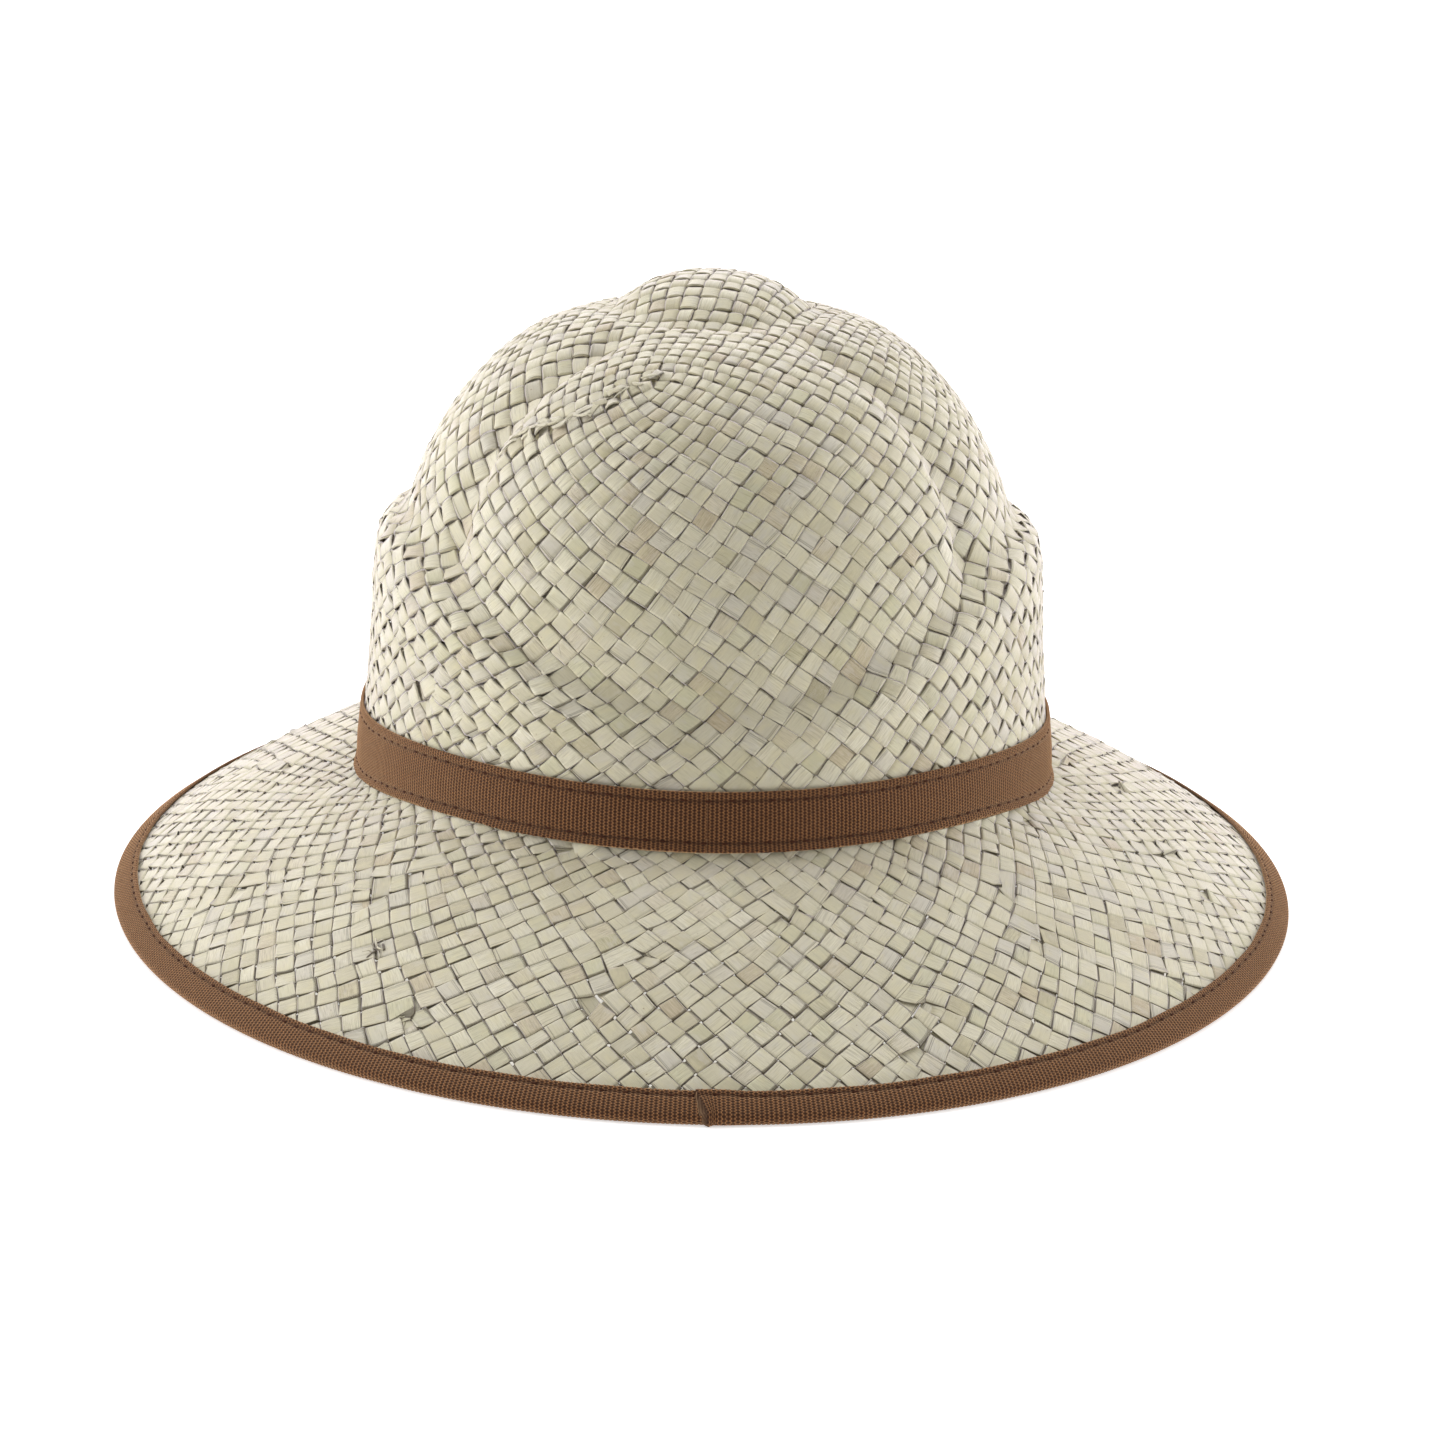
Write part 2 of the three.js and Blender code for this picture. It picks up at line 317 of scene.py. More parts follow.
def cores(offset):
    out, k = [], 0
    for count, lo, hi, _ in ADDED:
        for i in range(count):
            r = math.sqrt(lo * lo + (hi * hi - lo * lo) * (i + 0.5) / count)
            f = float(np.interp(r, MEAN_R, LEVEL))
            out.append(((k * GOLDEN + offset) % 1.0 * TAU, f))
            k += 1
    return np.array(out)


CORES = {"a": cores(0.13), "b": cores(0.61)}
F_FIRST = min(c[:, 1].min() for c in CORES.values())
_sorted = np.sort(CORES["a"][:, 1])
_f = np.linspace(F_JOIN - 1.0, F_EDGE + 0.05, 4001)
_count = STRANDS_TOP + PAIR * sum(smooth((_f - c) / 0.06 + 0.5) for c in _sorted)


def count_at(f):
    return np.interp(f, _f, _count)


def slopes(family, theta, f):
    """Derivatives of a family's strand number along theta and f, outside the join."""
    own = CORES[family]
    x = theta[..., None] - own[:, 0]
    y = f[..., None] - own[:, 1]
    z = x + 1j * y
    half_cot = 0.5 * np.cos(z / 2) / (np.sin(z / 2) + 1e-12)
    e = np.exp(-1j * z)
    blend = smooth((f - F_JOIN) / (F_FIRST - 0.02 - F_JOIN))[..., None]
    near = (f < F_FIRST - 0.02)[..., None]
    slope = 6 * clamp01((f - F_JOIN) / (F_FIRST - 0.02 - F_JOIN))
    slope = (slope * (1 - slope / 6) / (F_FIRST - 0.02 - F_JOIN))[..., None]
    # inside the first core only the mean turn is kept at the join
    log_term = np.log(1 - np.where(near, e, 0))
    d_log = 1j * e / (1 - np.where(near, e, 0))
    a_theta = np.where(near, 0.5 + blend * np.imag(d_log), np.imag(half_cot))
    a_f = np.where(near, blend * np.real(d_log) + slope * np.imag(log_term), np.real(half_cot))
    sign = 1 if family == "a" else -1
    g = count_at(f) / TAU
    w = np.exp(f + 1j * (theta - CORNER_TURN))
    q = (CORNER / w) ** 4
    d = q / 4 + 5 * q * q / 32
    k = STRANDS_TOP / TAU
    d_theta = k * (np.real(d) - sign * np.imag(d))
    d_f = k * (np.imag(d) + sign * np.real(d))
    along = MEAN_COUNT / TAU - (PAIR / TAU) * a_theta.sum(-1) + d_theta
    down = -(PAIR / TAU) * a_f.sum(-1) + sign * g + d_f
    return along, down


def trace(family, theta, f, phase, outward=False, step=0.0036):
    """Follows lines on which the family's own number stays the same; phase counts the strands crossed."""
    other = "b" if family == "a" else "a"
    own = CORES[family]
    way = -1.0 if outward else 1.0

    def rate(th, ff):
        a, b = slopes(family, th, ff)
        c, d = slopes(other, th, ff)
        n = np.hypot(a, b)
        dt, df = way * b / n, -way * a / n
        return dt, df, c * dt + d * df, 1 / n

    th, ff, ph = theta.copy(), f.copy(), phase.copy()
    alive = np.ones(len(th), bool)
    path = [(th.copy(), ff.copy(), ph.copy(), alive.copy())]
    for _ in range(2600):
        k1 = rate(th, ff)
        h = np.clip(0.12 / (np.abs(k1[2]) + 1e-9), 1e-5, step)
        k2 = rate(th + h / 2 * k1[0], ff + h / 2 * k1[1])
        k3 = rate(th + h / 2 * k2[0], ff + h / 2 * k2[1])
        k4 = rate(th + h * k3[0], ff + h * k3[1])
        move = [(p + 2 * q + 2 * r + s) / 6 * h for p, q, r, s in zip(k1[:3], k2[:3], k3[:3], k4[:3])]
        nt, nf = th + move[0], ff + move[1]
        # the last step ends on the line it is meant to reach
        goal = F_EDGE if outward else F_JOIN
        past = (nf > goal) if outward else (nf < goal)
        share = np.where(past, (goal - ff) / np.where(np.abs(nf - ff) < 1e-12, 1, nf - ff), 1.0)
        share = np.where(alive, share, 0.0)
        th, ff, ph = th + move[0] * share, ff + move[1] * share, ph + move[2] * share
        dist = np.hypot((th[:, None] - own[:, 0] + np.pi) % TAU - np.pi, ff[:, None] - own[:, 1])
        stop = (dist.min(1) < 0.40 * TAU / count_at(ff)) & (np.abs(share) > 0)
        converge = stop & (k1[3] < 0.62 / count_at(ff)) & (not outward)
        alive_next = alive & ~past & ~converge
        path.append((th.copy(), ff.copy(), ph.copy(), alive.copy()))
        alive = alive_next
        if not alive.any():
            break
    return [np.array([p[i] for p in path]) for i in range(4)]


def edge_numbers(family):
    t = np.linspace(0, TAU, 7201)
    m = (t[1:] + t[:-1]) / 2
    a, _ = slopes(family, m, np.full_like(m, F_EDGE))
    return t, np.concatenate([[0], np.cumsum(a * np.diff(t))])


def number_at_join(family, theta):
    w = np.exp(F_JOIN + 1j * (theta - CORNER_TURN))
    q = (CORNER / w) ** 4
    w = (F_JOIN + 1j * (theta - CORNER_TURN)) - q / 16 - 5 * q * q / 256
    shift = F_CORNER - 0.12716
    sign = 1 if family == "a" else -1
    return STRANDS_TOP / TAU * (np.imag(w) + sign * (np.real(w) - shift))


def offsets():
    """Ties each family's numbers at the edge to its numbers at the join."""
    out = {}
    grid = np.linspace(0, TAU, 7201)
    for family in "ab":
        start = float(np.interp(0.5, number_at_join(family, grid), grid))
        th, ff, _, _ = trace(family, np.array([start]), np.array([F_JOIN]), np.zeros(1), outward=True)
        t, n = edge_numbers(family)
        end = th[-1, 0]
        turns = math.floor(end / TAU)
        out[family] = 0.5 - (np.interp(end - turns * TAU, t, n) + turns * n[-1])
    return out


def edge_strands():
    """Traces every strand inward from the edge. Gives, for each family, a list of (theta, f, phase, number)."""
    off = offsets()
    table = {fam: edge_numbers(fam) for fam in "ab"}
    strands = {}
    for family, other in (("a", "b"), ("b", "a")):
        t, n = table[family]
        total = int(round(n[-1]))
        first = math.ceil(off[family] - 0.5) + 0.5
        numbers = first + np.arange(total)
        theta = np.interp(numbers - off[family], n, t)
        phase = np.interp(theta, table[other][0], table[other][1]) + off[other]
        th, ff, ph, live = trace(family, theta, np.full(total, F_EDGE), phase)
        rows = []
        for i in range(total):
            k = int(live[:, i].sum())
            rows.append((th[:k, i], ff[:k, i], ph[:k, i], numbers[i]))
        strands[family] = rows
    return strands


def cap_paths(theta0, phase0):
    """Carries strands that enter the cap across it, till they reach the join again."""
    c4 = CORNER ** 4
    hop = 0.1
    dw = (math.pi / STRANDS_TOP) * (-1 + 1j) * hop
    z = np.exp(F_JOIN + 1j * (theta0 - CORNER_TURN))

    def root(z, before):
        r = (z ** 4 - c4) ** 0.25
        options = r[:, None] * np.array([1, 1j, -1, -1j])
        pick = np.abs(options - before[:, None]).argmin(1)
        return options[np.arange(len(z)), pick]

    before = root(z, z)
    first = before.copy()
    out_z, out_g = [z.copy()], [z / before]
    alive = np.ones(len(z), bool)
    steps = np.zeros(len(z))
    live = [alive.copy()]
    limit = math.exp(F_JOIN)
    for n in range(1400):
        r1 = root(z, before)
        k1 = dw * r1
        r2 = root(z + k1 / 2, r1); k2 = dw * r2
        r3 = root(z + k2 / 2, r2); k3 = dw * r3
        r4 = root(z + k3, r3); k4 = dw * r4
        nz = z + (k1 + 2 * k2 + 2 * k3 + k4) / 6
        done = alive & (np.abs(nz) >= limit) & (n > 3)
        share = np.ones(len(z))
        if done.any():
            a, b = np.abs(z[done]), np.abs(nz[done])
            share[done] = (limit - a) / (b - a)
        share[~alive] = 0
        z = z + (nz - z) * share
        before = root(z, r4)
        steps = steps + hop * share
        out_z.append(z.copy()); out_g.append(z / before); live.append(alive.copy())
        alive = alive & ~done
        if not alive.any():
            break
    return np.array(out_z), np.array(out_g), np.array(live), steps


def metric(theta, f):
    """The surface's two direction vectors at (theta, f), millimetres per unit."""
    e = 2e-3
    return ((at(MID, theta + e, f) - at(MID, theta - e, f)) / (2 * e),
            (at(MID, theta, f + e) - at(MID, theta, f - e)) / (2 * e))


def spacing(theta, f, s_theta, s_f):
    a, b = metric(theta, f)
    aa, ab, bb = (a * a).sum(-1), (a * b).sum(-1), (b * b).sum(-1)
    det = np.maximum(aa * bb - ab * ab, 1e-9)
    g = (bb * s_theta ** 2 - 2 * ab * s_theta * s_f + aa * s_f ** 2) / det
    return 1 / np.sqrt(np.maximum(g, 1e-9))


def skew(theta, f, own, other, points, normals):
    """How far the crossing strands lean from square across a strand, as a tangent."""
    a, b = metric(theta, f)
    e = -other[1][:, None] * a + other[0][:, None] * b
    t = unit(np.gradient(points, axis=0))
    side = unit(np.cross(normals, t))
    across = (e * side).sum(-1)
    lean = (e * t).sum(-1) / np.where(np.abs(across) < 1e-9, 1e-9, across)
    lean = np.where(np.isfinite(lean), lean, 0).clip(-0.85, 0.85)
    calm = np.ones(15) / 15
    return np.convolve(np.pad(lean, 7, mode="edge"), calm, mode="valid")


def make_strands():
    """Every strand as points, normals, phases, spacing, sign, and whether each end is tucked."""
    edge = edge_strands()
    reach = {fam: [i for i, s in enumerate(edge[fam]) if s[1][-1] < F_JOIN + 1e-6] for fam in "ab"}
    print("strands that reach the join", len(reach["a"]), len(reach["b"]), "of", len(edge["a"]), len(edge["b"]))
    theta0 = np.array([edge["a"][i][0][-1] for i in reach["a"]])
    off_grid = [number_at_join("a", theta0[k] % TAU) - edge["a"][i][3] for k, i in enumerate(reach["a"])]
    print("join: largest miss of a", float(np.abs(np.array(off_grid) - np.round(off_grid)).max()))
    zs, gs, live, steps = cap_paths(theta0, None)
    exit_theta = np.angle(zs[-1]) + CORNER_TURN
    b_theta = np.array([edge["b"][i][0][-1] for i in reach["b"]]) % TAU
    used, out, bad, miss = set(), [], 0, 0.0

    def gather(family, row):
        th, ff, ph, number = row
        own = slopes(family, th, ff)
        points, normals = at(MID, th, ff), at(NORMAL, th, ff)
        lean = skew(th, ff, own, slopes("b" if family == "a" else "a", th, ff), points, normals)
        return points, normals, ph, spacing(th, ff, *own), ff, lean

    for k, i in enumerate(reach["a"]):
        p1, n1, ph1, sp1, f1, k1 = gather("a", edge["a"][i])
        gap = np.abs((b_theta - exit_theta[k] + np.pi) % TAU - np.pi)
        j = reach["b"][int(gap.argmin())]
        miss = max(miss, float(gap.min()) * STRANDS_TOP / TAU)
        used.add(j)
        m = int(live[:, k].sum())
        z, g = zs[1:m, k], gs[1:m, k]
        th, ff = np.angle(z) + CORNER_TURN, np.log(np.abs(z) + 1e-9)
        s_f = STRANDS_TOP / TAU * (np.imag(g) + np.real(g))
        s_t = STRANDS_TOP / TAU * (np.real(g) - np.imag(g))
        ph2 = ph1[-1] + np.minimum(np.arange(1, m) * 0.1, steps[k])
        p2, n2 = at(MID, th, ff), at(NORMAL, th, ff)
        sp2 = spacing(th, ff, s_t, s_f)
        k2 = skew(th, ff, (s_t, s_f), (np.real(g) + np.imag(g), np.imag(g) - np.real(g)), p2, n2)
        p3, n3, ph3, sp3, f3, k3 = (v[::-1] for v in gather("b", edge["b"][j]))
        jump = ph1[-1] + steps[k] - ph3[0]
        whole = round(jump)
        miss = max(miss, abs(jump - whole))
        # what little is missed is spread over the way across
        share = np.clip((ph2 - ph1[-1]) / steps[k], 0, 1)
        ph2 = ph2 + (whole - jump) * share
        p2 = p2 + (p3[0] - p2[-1]) * (share ** 3)[:, None]
        sign_a = (-1) ** int(round(edge["a"][i][3] - 0.5))
        sign_b = -(-1) ** int(round(edge["b"][j][3] - 0.5))
        if sign_a * (-1) ** whole != sign_b:
            bad += 1
        ph3 = ph3 + whole
        keep = 1
        out.append([np.concatenate([p1, p2, p3[keep:]]), np.concatenate([n1, n2, n3[keep:]]),
                    np.concatenate([ph1, ph2, ph3[keep:]]), np.concatenate([sp1, sp2, sp3[keep:]]),
                    sign_a, (False, False), np.concatenate([f1, ff, f3[keep:]]), np.concatenate([k1, k2, k3[keep:]])])
    for family, sign in (("a", 1), ("b", -1)):
        for i, row in enumerate(edge[family]):
            if i in reach[family]:
                continue
            p, n, ph, sp, f, lean = gather(family, row)
            s = sign * (-1) ** int(round(row[3] - 0.5))
            if family == "b":
                p, n, ph, sp, f, lean = (v[::-1] for v in (p, n, ph, sp, f, lean))
                out.append([p, n, ph, sp, s, (True, False), f, lean])
            else:
                out.append([p, n, ph, sp, s, (False, True), f, lean])
    print("strands", len(out), "wrong signs at the join", bad, "largest miss", round(miss, 4),
          "b strands left over", len(set(reach["b"]) - used))
    return out


STRANDS = make_strands()
print("levels: corner", F_CORNER, "join", F_JOIN, "first", F_FIRST, "edge", F_EDGE, "count at edge", STRANDS_EDGE)


# ------------------------------------------------------------------ strips of straw
SAMPLES_ARCHED = np.array([0.0, 0.12, 0.34, 0.64, 0.88])  # places along each crossing
SAMPLES_FLAT = np.array([0.0, 0.06, 0.14, 0.86, 0.94])
EDGES = np.array([-1.0, 0.0, 0.0, 1.0, 0.0, 0.0])     # six points of a strip's section
INNER = np.array([0.0, -1.0, 1.0, 0.0, 1.0, -1.0])
UPPER = np.array([0.0, 1.0, 1.0, 0.0, 0.0, 0.0])
LOWER = np.array([0.0, 0.0, 0.0, 0.0, 1.0, 1.0])
STRIP_THICKNESS = 0.26
TRIANGLES_A_PIECE = 185000


def wave(x, steep):
    return np.tanh(steep * x) / np.tanh(steep)


def own_width(index):
    return 0.028 * float(np.random.default_rng(900 + index).normal())


# An irregular, frayed line runs from one corner of the plait down to the left.
SEAM = np.array([[-12.6, -51.2, 134.9], [-29.8, -54.9, 126.7], [-47.3, -45.8, 116.5]])
SEAM_REACH = 3.6


def seam_share(points):
    away = np.full(len(points), 1e9)
    for start, end in zip(SEAM[:-1], SEAM[1:]):
        d = end - start
        t = clamp01(((points - start) @ d) / (d @ d))
        away = np.minimum(away, np.linalg.norm(points - (start + t[:, None] * d), axis=-1))
    return np.exp(-(away / SEAM_REACH) ** 2)


def strip(strand, index):
    p, n, ph, sp, sign, tucked, f, askew = strand
    lo, hi = ph[0], ph[-1]
    k = np.arange(math.floor(lo), math.ceil(hi) + 1)
    where = np.interp(k + 0.5, ph, row_of(f)) / DOWN_CROWN
    ahead = smooth((-np.interp(k + 0.5, ph, p[:, 1]) - 20) / 50)
    middle = 1 - smooth((np.abs(np.interp(k + 0.5, ph, p[:, 0])) - 26) / 30)
    flat_here = np.maximum(smooth((where - 1.0) / 0.15) * (0.5 + 0.5 * ahead), ahead * middle * smooth((where - 0.46) / 0.2))[:, None]
    at_phase = (k[:, None] + SAMPLES_ARCHED * (1 - flat_here) + SAMPLES_FLAT * flat_here).ravel()
    at_phase = at_phase[(at_phase > lo + 0.08) & (at_phase < hi - 0.08)]
    at_phase = np.concatenate([[lo], at_phase, [hi]])

    def along(values):
        if values.ndim == 1:
            return np.interp(at_phase, ph, values)
        return np.stack([np.interp(at_phase, ph, values[:, i]) for i in range(values.shape[1])], -1)

    centre, up, gap, level = along(p), unit(along(n)), along(sp), along(f)
    place = row_of(level) / DOWN_CROWN                  # 0 top, 1 band, 1.46 edge
    cell = np.arange(k[0] - 1, k[-1] + 3)
    noise = rng.normal(size=(6, len(cell))).clip(-2, 2)
    soft = [np.interp(at_phase, cell + 0.5, row) for row in noise]
    cap = smooth((0.62 - place) / 0.35)                 # 1 on the cap and the upper lobes
    brim = smooth((place - 1.02) / 0.2)
    front = smooth((-centre[:, 1] - 20) / 60)           # flatter cells at the front
    flat = np.maximum(brim * (0.5 + 0.5 * front),
                      front * smooth((place - 0.46) / 0.2) * (1 - smooth((np.abs(centre[:, 0]) - 26) / 30)))
    near_seam = seam_share(centre)
    rise = (0.46 + 0.08 * cap) * (1 - flat) + 0.29 * flat + 0.12 * near_seam
    height = sign * rise * wave(np.cos(np.pi * (at_phase - 0.5)), 2.1 + 7.0 * flat) + (0.05 + 0.30 * near_seam) * soft[0]
    slow = np.interp(at_phase, cell[::3] + 0.5, np.repeat(noise[4], 1)[::3])
    own = own_width(index)
    holes = smooth((place - 1.14) / 0.16) * smooth((-centre[:, 1] - 60) / 60)
    snug = 1.025 + 0.020 * (1 - flat) - 0.010 * cap - 0.075 * holes + 0.018 * slow + 0.018 * soft[1] + own - 0.22 * near_seam * np.abs(soft[2])
    half = 0.5 * np.clip(gap, 2.9, 6.8) * snug
    lean = (0.05 + 0.20 * near_seam) * soft[2]
    drift = 0.14 * soft[3] + 0.10 * brim * soft[4] + 0.60 * near_seam * soft[5]
    askew = along(askew)
    for end, tuck in ((lo, tucked[0]), (hi, tucked[1])):
        if tuck:
            near = 1 - smooth(np.abs(at_phase - end) / 0.9)
            height = height * (1 - near) - (0.62 * near)
            half = half * (1 - 0.12 * near)
            askew = askew * (1 - near)
    centre = centre + up * height[:, None]
    t = np.gradient(centre, axis=0)
    t = unit(t)
    side = unit(np.cross(up, t))
    top = unit(np.cross(t, side))
    side = side + top * lean[:, None] + t * askew[:, None]
    bow = (0.18 + 0.08 * cap) * (1 - flat) + 0.08 * flat + 0.03 * soft[5]
    s = EDGES[None, :] + INNER[None, :] * (0.74 * (1 - flat) + 0.90 * flat)[:, None]
    lift = (UPPER * (STRIP_THICKNESS / 2) - LOWER * (STRIP_THICKNESS / 2))[None, :] + (UPPER + LOWER)[None, :] * bow[:, None] * 0.5 \
        - (1 - UPPER - LOWER)[None, :] * bow[:, None] * 0.5
    ring = centre[:, None, :] + side[:, None, :] * (s * half[:, None] + drift[:, None])[..., None] + top[:, None, :] * lift[..., None]
    length = np.concatenate([[0], np.cumsum(np.linalg.norm(np.diff(centre, axis=0), axis=-1))])
    weave = np.stack([s, np.broadcast_to(at_phase[:, None], ring.shape[:2]),
                      np.full(ring.shape[:2], index * 1.0)], -1)
    flat = np.stack([s * half[:, None], np.broadcast_to(length[:, None], ring.shape[:2]),
                     np.broadcast_to(place[:, None], ring.shape[:2])], -1)
    return ring, weave, flat


def tube_faces(rings, points, closed_ends=True):
    i = np.arange(rings - 1)[:, None] * points
    j = np.arange(points)[None, :]
    h = (j + 1) % points
    quads = np.stack([i + j, i + points + j, i + points + h, i + h], -1).reshape(-1, 4)
    if not closed_ends:
        return quads
    ends = []
    for k in range(points // 2 - 1):
        ends.append((k, k + 1, points - 2 - k, points - 1 - k))
    first = np.array(ends)
    last = first[:, ::-1] + (rings - 1) * points
    return np.concatenate([quads, first, last])


def make_mesh(name, points, quads, attributes, material, node=None, creases=None):
    mesh = bpy.data.meshes.new(name)
    points = np.asarray(points, np.float32) * MM
    mesh.vertices.add(len(points))
    mesh.vertices.foreach_set("co", points.ravel())
    mesh.loops.add(quads.size)
    mesh.loops.foreach_set("vertex_index", quads.astype(np.int32).ravel())
    mesh.polygons.add(len(quads))
    mesh.polygons.foreach_set("loop_start", np.arange(0, quads.size, 4, dtype=np.int32))
    mesh.polygons.foreach_set("use_smooth", np.ones(len(quads), bool))
    mesh.update(calc_edges=True)
    mesh.validate()
    if creases:
        ends = np.empty(2 * len(mesh.edges), np.int32)
        mesh.edges.foreach_get("vertices", ends)
        ends = ends.reshape(-1, 2) % creases[0]
        sharp = (ends[:, 0] == ends[:, 1]) & np.isin(ends[:, 0], creases[1])
        mesh.attributes.new("sharp_edge", "BOOLEAN", "EDGE").data.foreach_set("value", sharp)
    for key, values in attributes.items():
        layer = mesh.attributes.new(key, "FLOAT_VECTOR", "POINT")
        layer.data.foreach_set("vector", np.asarray(values, np.float32).ravel())
    mesh.materials.append(material)
    o = bpy.data.objects.new(name, mesh)
    bpy.context.scene.collection.objects.link(o)
    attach(o, "root")
    if node:
        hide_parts(node)
    return o


def straw_pieces(material):
    batches, batch, count = [], [], 0
    for index, strand in enumerate(STRANDS):
        ring, weave, flat = strip(strand, index)
        quads = tube_faces(ring.shape[0], 6)
        if count + 2 * len(quads) > TRIANGLES_A_PIECE:
            batches.append(batch)
            batch, count = [], 0
        batch.append((ring, weave, flat, quads))
        count += 2 * len(quads)
    batches.append(batch)
    total = 0
    for b, batch in enumerate(batches):
        points, quads, weave, flat, start = [], [], [], [], 0
        for ring, w, f, q in batch:
            points.append(ring.reshape(-1, 3)); weave.append(w.reshape(-1, 3)); flat.append(f.reshape(-1, 3))
            quads.append(q + start)
            start += ring.shape[0] * 6
        quads = np.concatenate(quads)
        total += 2 * len(quads)
        points = np.concatenate(points)
        points[:, 2] = np.maximum(points[:, 2], 0.03)
        make_mesh(f"straw_plait_{b + 1}", points, quads,
                  {"weave": np.concatenate(weave), "flat": np.concatenate(flat)}, material,
                  "straw_body", (6, (1, 2, 4, 5)))
    print("straw triangles", total, "in", len(batches))


# Broken strips and fibres stand out along the frayed line and in a few places.
LOOSE = [
    # near, how many, spread in mm, length in mm, width in mm, how far they turn from the line, dark or not
    ("line", 24, 1.5, (3.5, 8.0), (0.8, 2.2), 0.5, False),
    ("line", 10, 3.5, (4.0, 8.0), (0.10, 0.16), 1.2, False),
    ((-24.0, -70.0, 115.0), 6, 9.0, (4.0, 9.0), (0.10, 0.15), 3.0, False),
    ((-30.0, -90.0, 85.0), 4, 12.0, (3.0, 7.0), (0.10, 0.15), 3.0, False),
    ((-72.2, -113.8, 17.6), 5, 1.4, (1.5, 3.5), (0.25, 0.6), 3.0, False),
    ((-72.6, -114.2, 17.3), 5, 1.1, (2.6, 4.6), (0.4, 0.9), 3.0, True),
]


def loose_straw(material):
    r = np.random.default_rng(5)
    flat_mid, flat_normal = MID.reshape(-1, 3), NORMAL.reshape(-1, 3)
    points, weave, flat, quads, start = [], [], [], [], 0
    for where, count, spread, long, wide, turn_by, dark in LOOSE:
        for n in range(count):
            if where == "line":
                part = int(r.integers(len(SEAM) - 1))
                share = r.uniform(0, 1)
                near = SEAM[part] * (1 - share) + SEAM[part + 1] * share
                way = unit(SEAM[part + 1] - SEAM[part])
            else:
                near, way = np.array(where), np.array([1.0, 0.0, 0.0])
            near = near + r.normal(size=3) * spread * 0.6
            pick = int(((flat_mid - near) ** 2).sum(1).argmin())
            m, up = flat_mid[pick], flat_normal[pick]
            way = unit(way - up * (way @ up))
            a = r.uniform(-1, 1) * turn_by
            way = way * math.cos(a) + np.cross(up, way) * math.sin(a)
            side = np.cross(up, way)
            length, half = r.uniform(*long), r.uniform(*wide) / 2
            bend, lift, twist = r.normal() * 0.12, r.uniform(0.15, 0.6), r.normal() * 0.5
            for k, t in enumerate(np.linspace(-0.5, 0.5, 7)):
                centre = m + way * (t * length) + side * (bend * length * (t * t * 4 - 0.5))
                spot = int(((flat_mid[max(0, pick - 9000):pick + 9000] - centre) ** 2).sum(1).argmin()) + max(0, pick - 9000)
                centre = centre - up * ((centre - flat_mid[spot]) @ up)
                centre = centre + up * (-0.35 + (0.95 if dark else 1.15 + lift) * float(smooth(np.array((t + 0.5) / 0.35))))
                across = side * math.cos(twist * t) + up * math.sin(twist * t)
                thin = 1.0 - 0.55 * abs(t) * 2 * (r.uniform() < 0.7)
                thick = min(0.16, half * 0.9)
                for s, h in ((-1, 0), (-0.7, 0.5), (0.7, 0.5), (1, 0), (0.7, -0.5), (-0.7, -0.5)):
                    points.append(centre + across * (s * half * thin) + up * (h * thick))
                    weave.append((1.0 if dark else 0.8 * s, n * 3 + 0.5 + 0.2 * t, 700.0 + n))
                    flat.append((s * half, t * length, 0.6))
            quads.append(tube_faces(7, 6) + start)
            start += 42
    make_mesh("straw_loose_ends", np.array(points), np.concatenate(quads),
              {"weave": np.array(weave), "flat": np.array(flat)}, material, "straw_body")


# ------------------------------------------------------------------ ribbon
RIB_PITCH = 1.0
RIB_HEIGHT = 0.17
RIB_SAMPLES = 4
RIB_SHAPE = np.array([0.0, 0.75, 1.0, 0.75])
BAND_LIFT, RIBBON_THICK = 0.32, 0.62
BAND_STITCH_TOP, BAND_STITCH_BOTTOM = 2.3, 2.4
BAND_STITCH_EVERY, BAND_STITCH_LONG = 4.65, 1.5


def ripple(theta, seed, waves, size):
    r = np.random.default_rng(seed)
    out = np.zeros_like(theta)
    for k in waves:
        out += r.normal() * np.sin(k * theta + r.uniform(0, TAU)) / math.sqrt(len(waves))
    return out * size


def band_line(theta, share, lift):
    """A point of the band: share 0 at its upper edge and 1 at its lower edge, lift above the straw."""
    phi = phi_of(theta)
    u = BAND_TOP + (BAND_BOTTOM - BAND_TOP) * share
    return outer(phi, u) + normal(phi, u) * np.asarray(lift)[..., None]


def band_height(theta):
    phi = phi_of(theta)
    return np.linalg.norm(outer(phi, BAND_TOP + 0 * phi) - outer(phi, BAND_BOTTOM + 0 * phi), axis=-1)


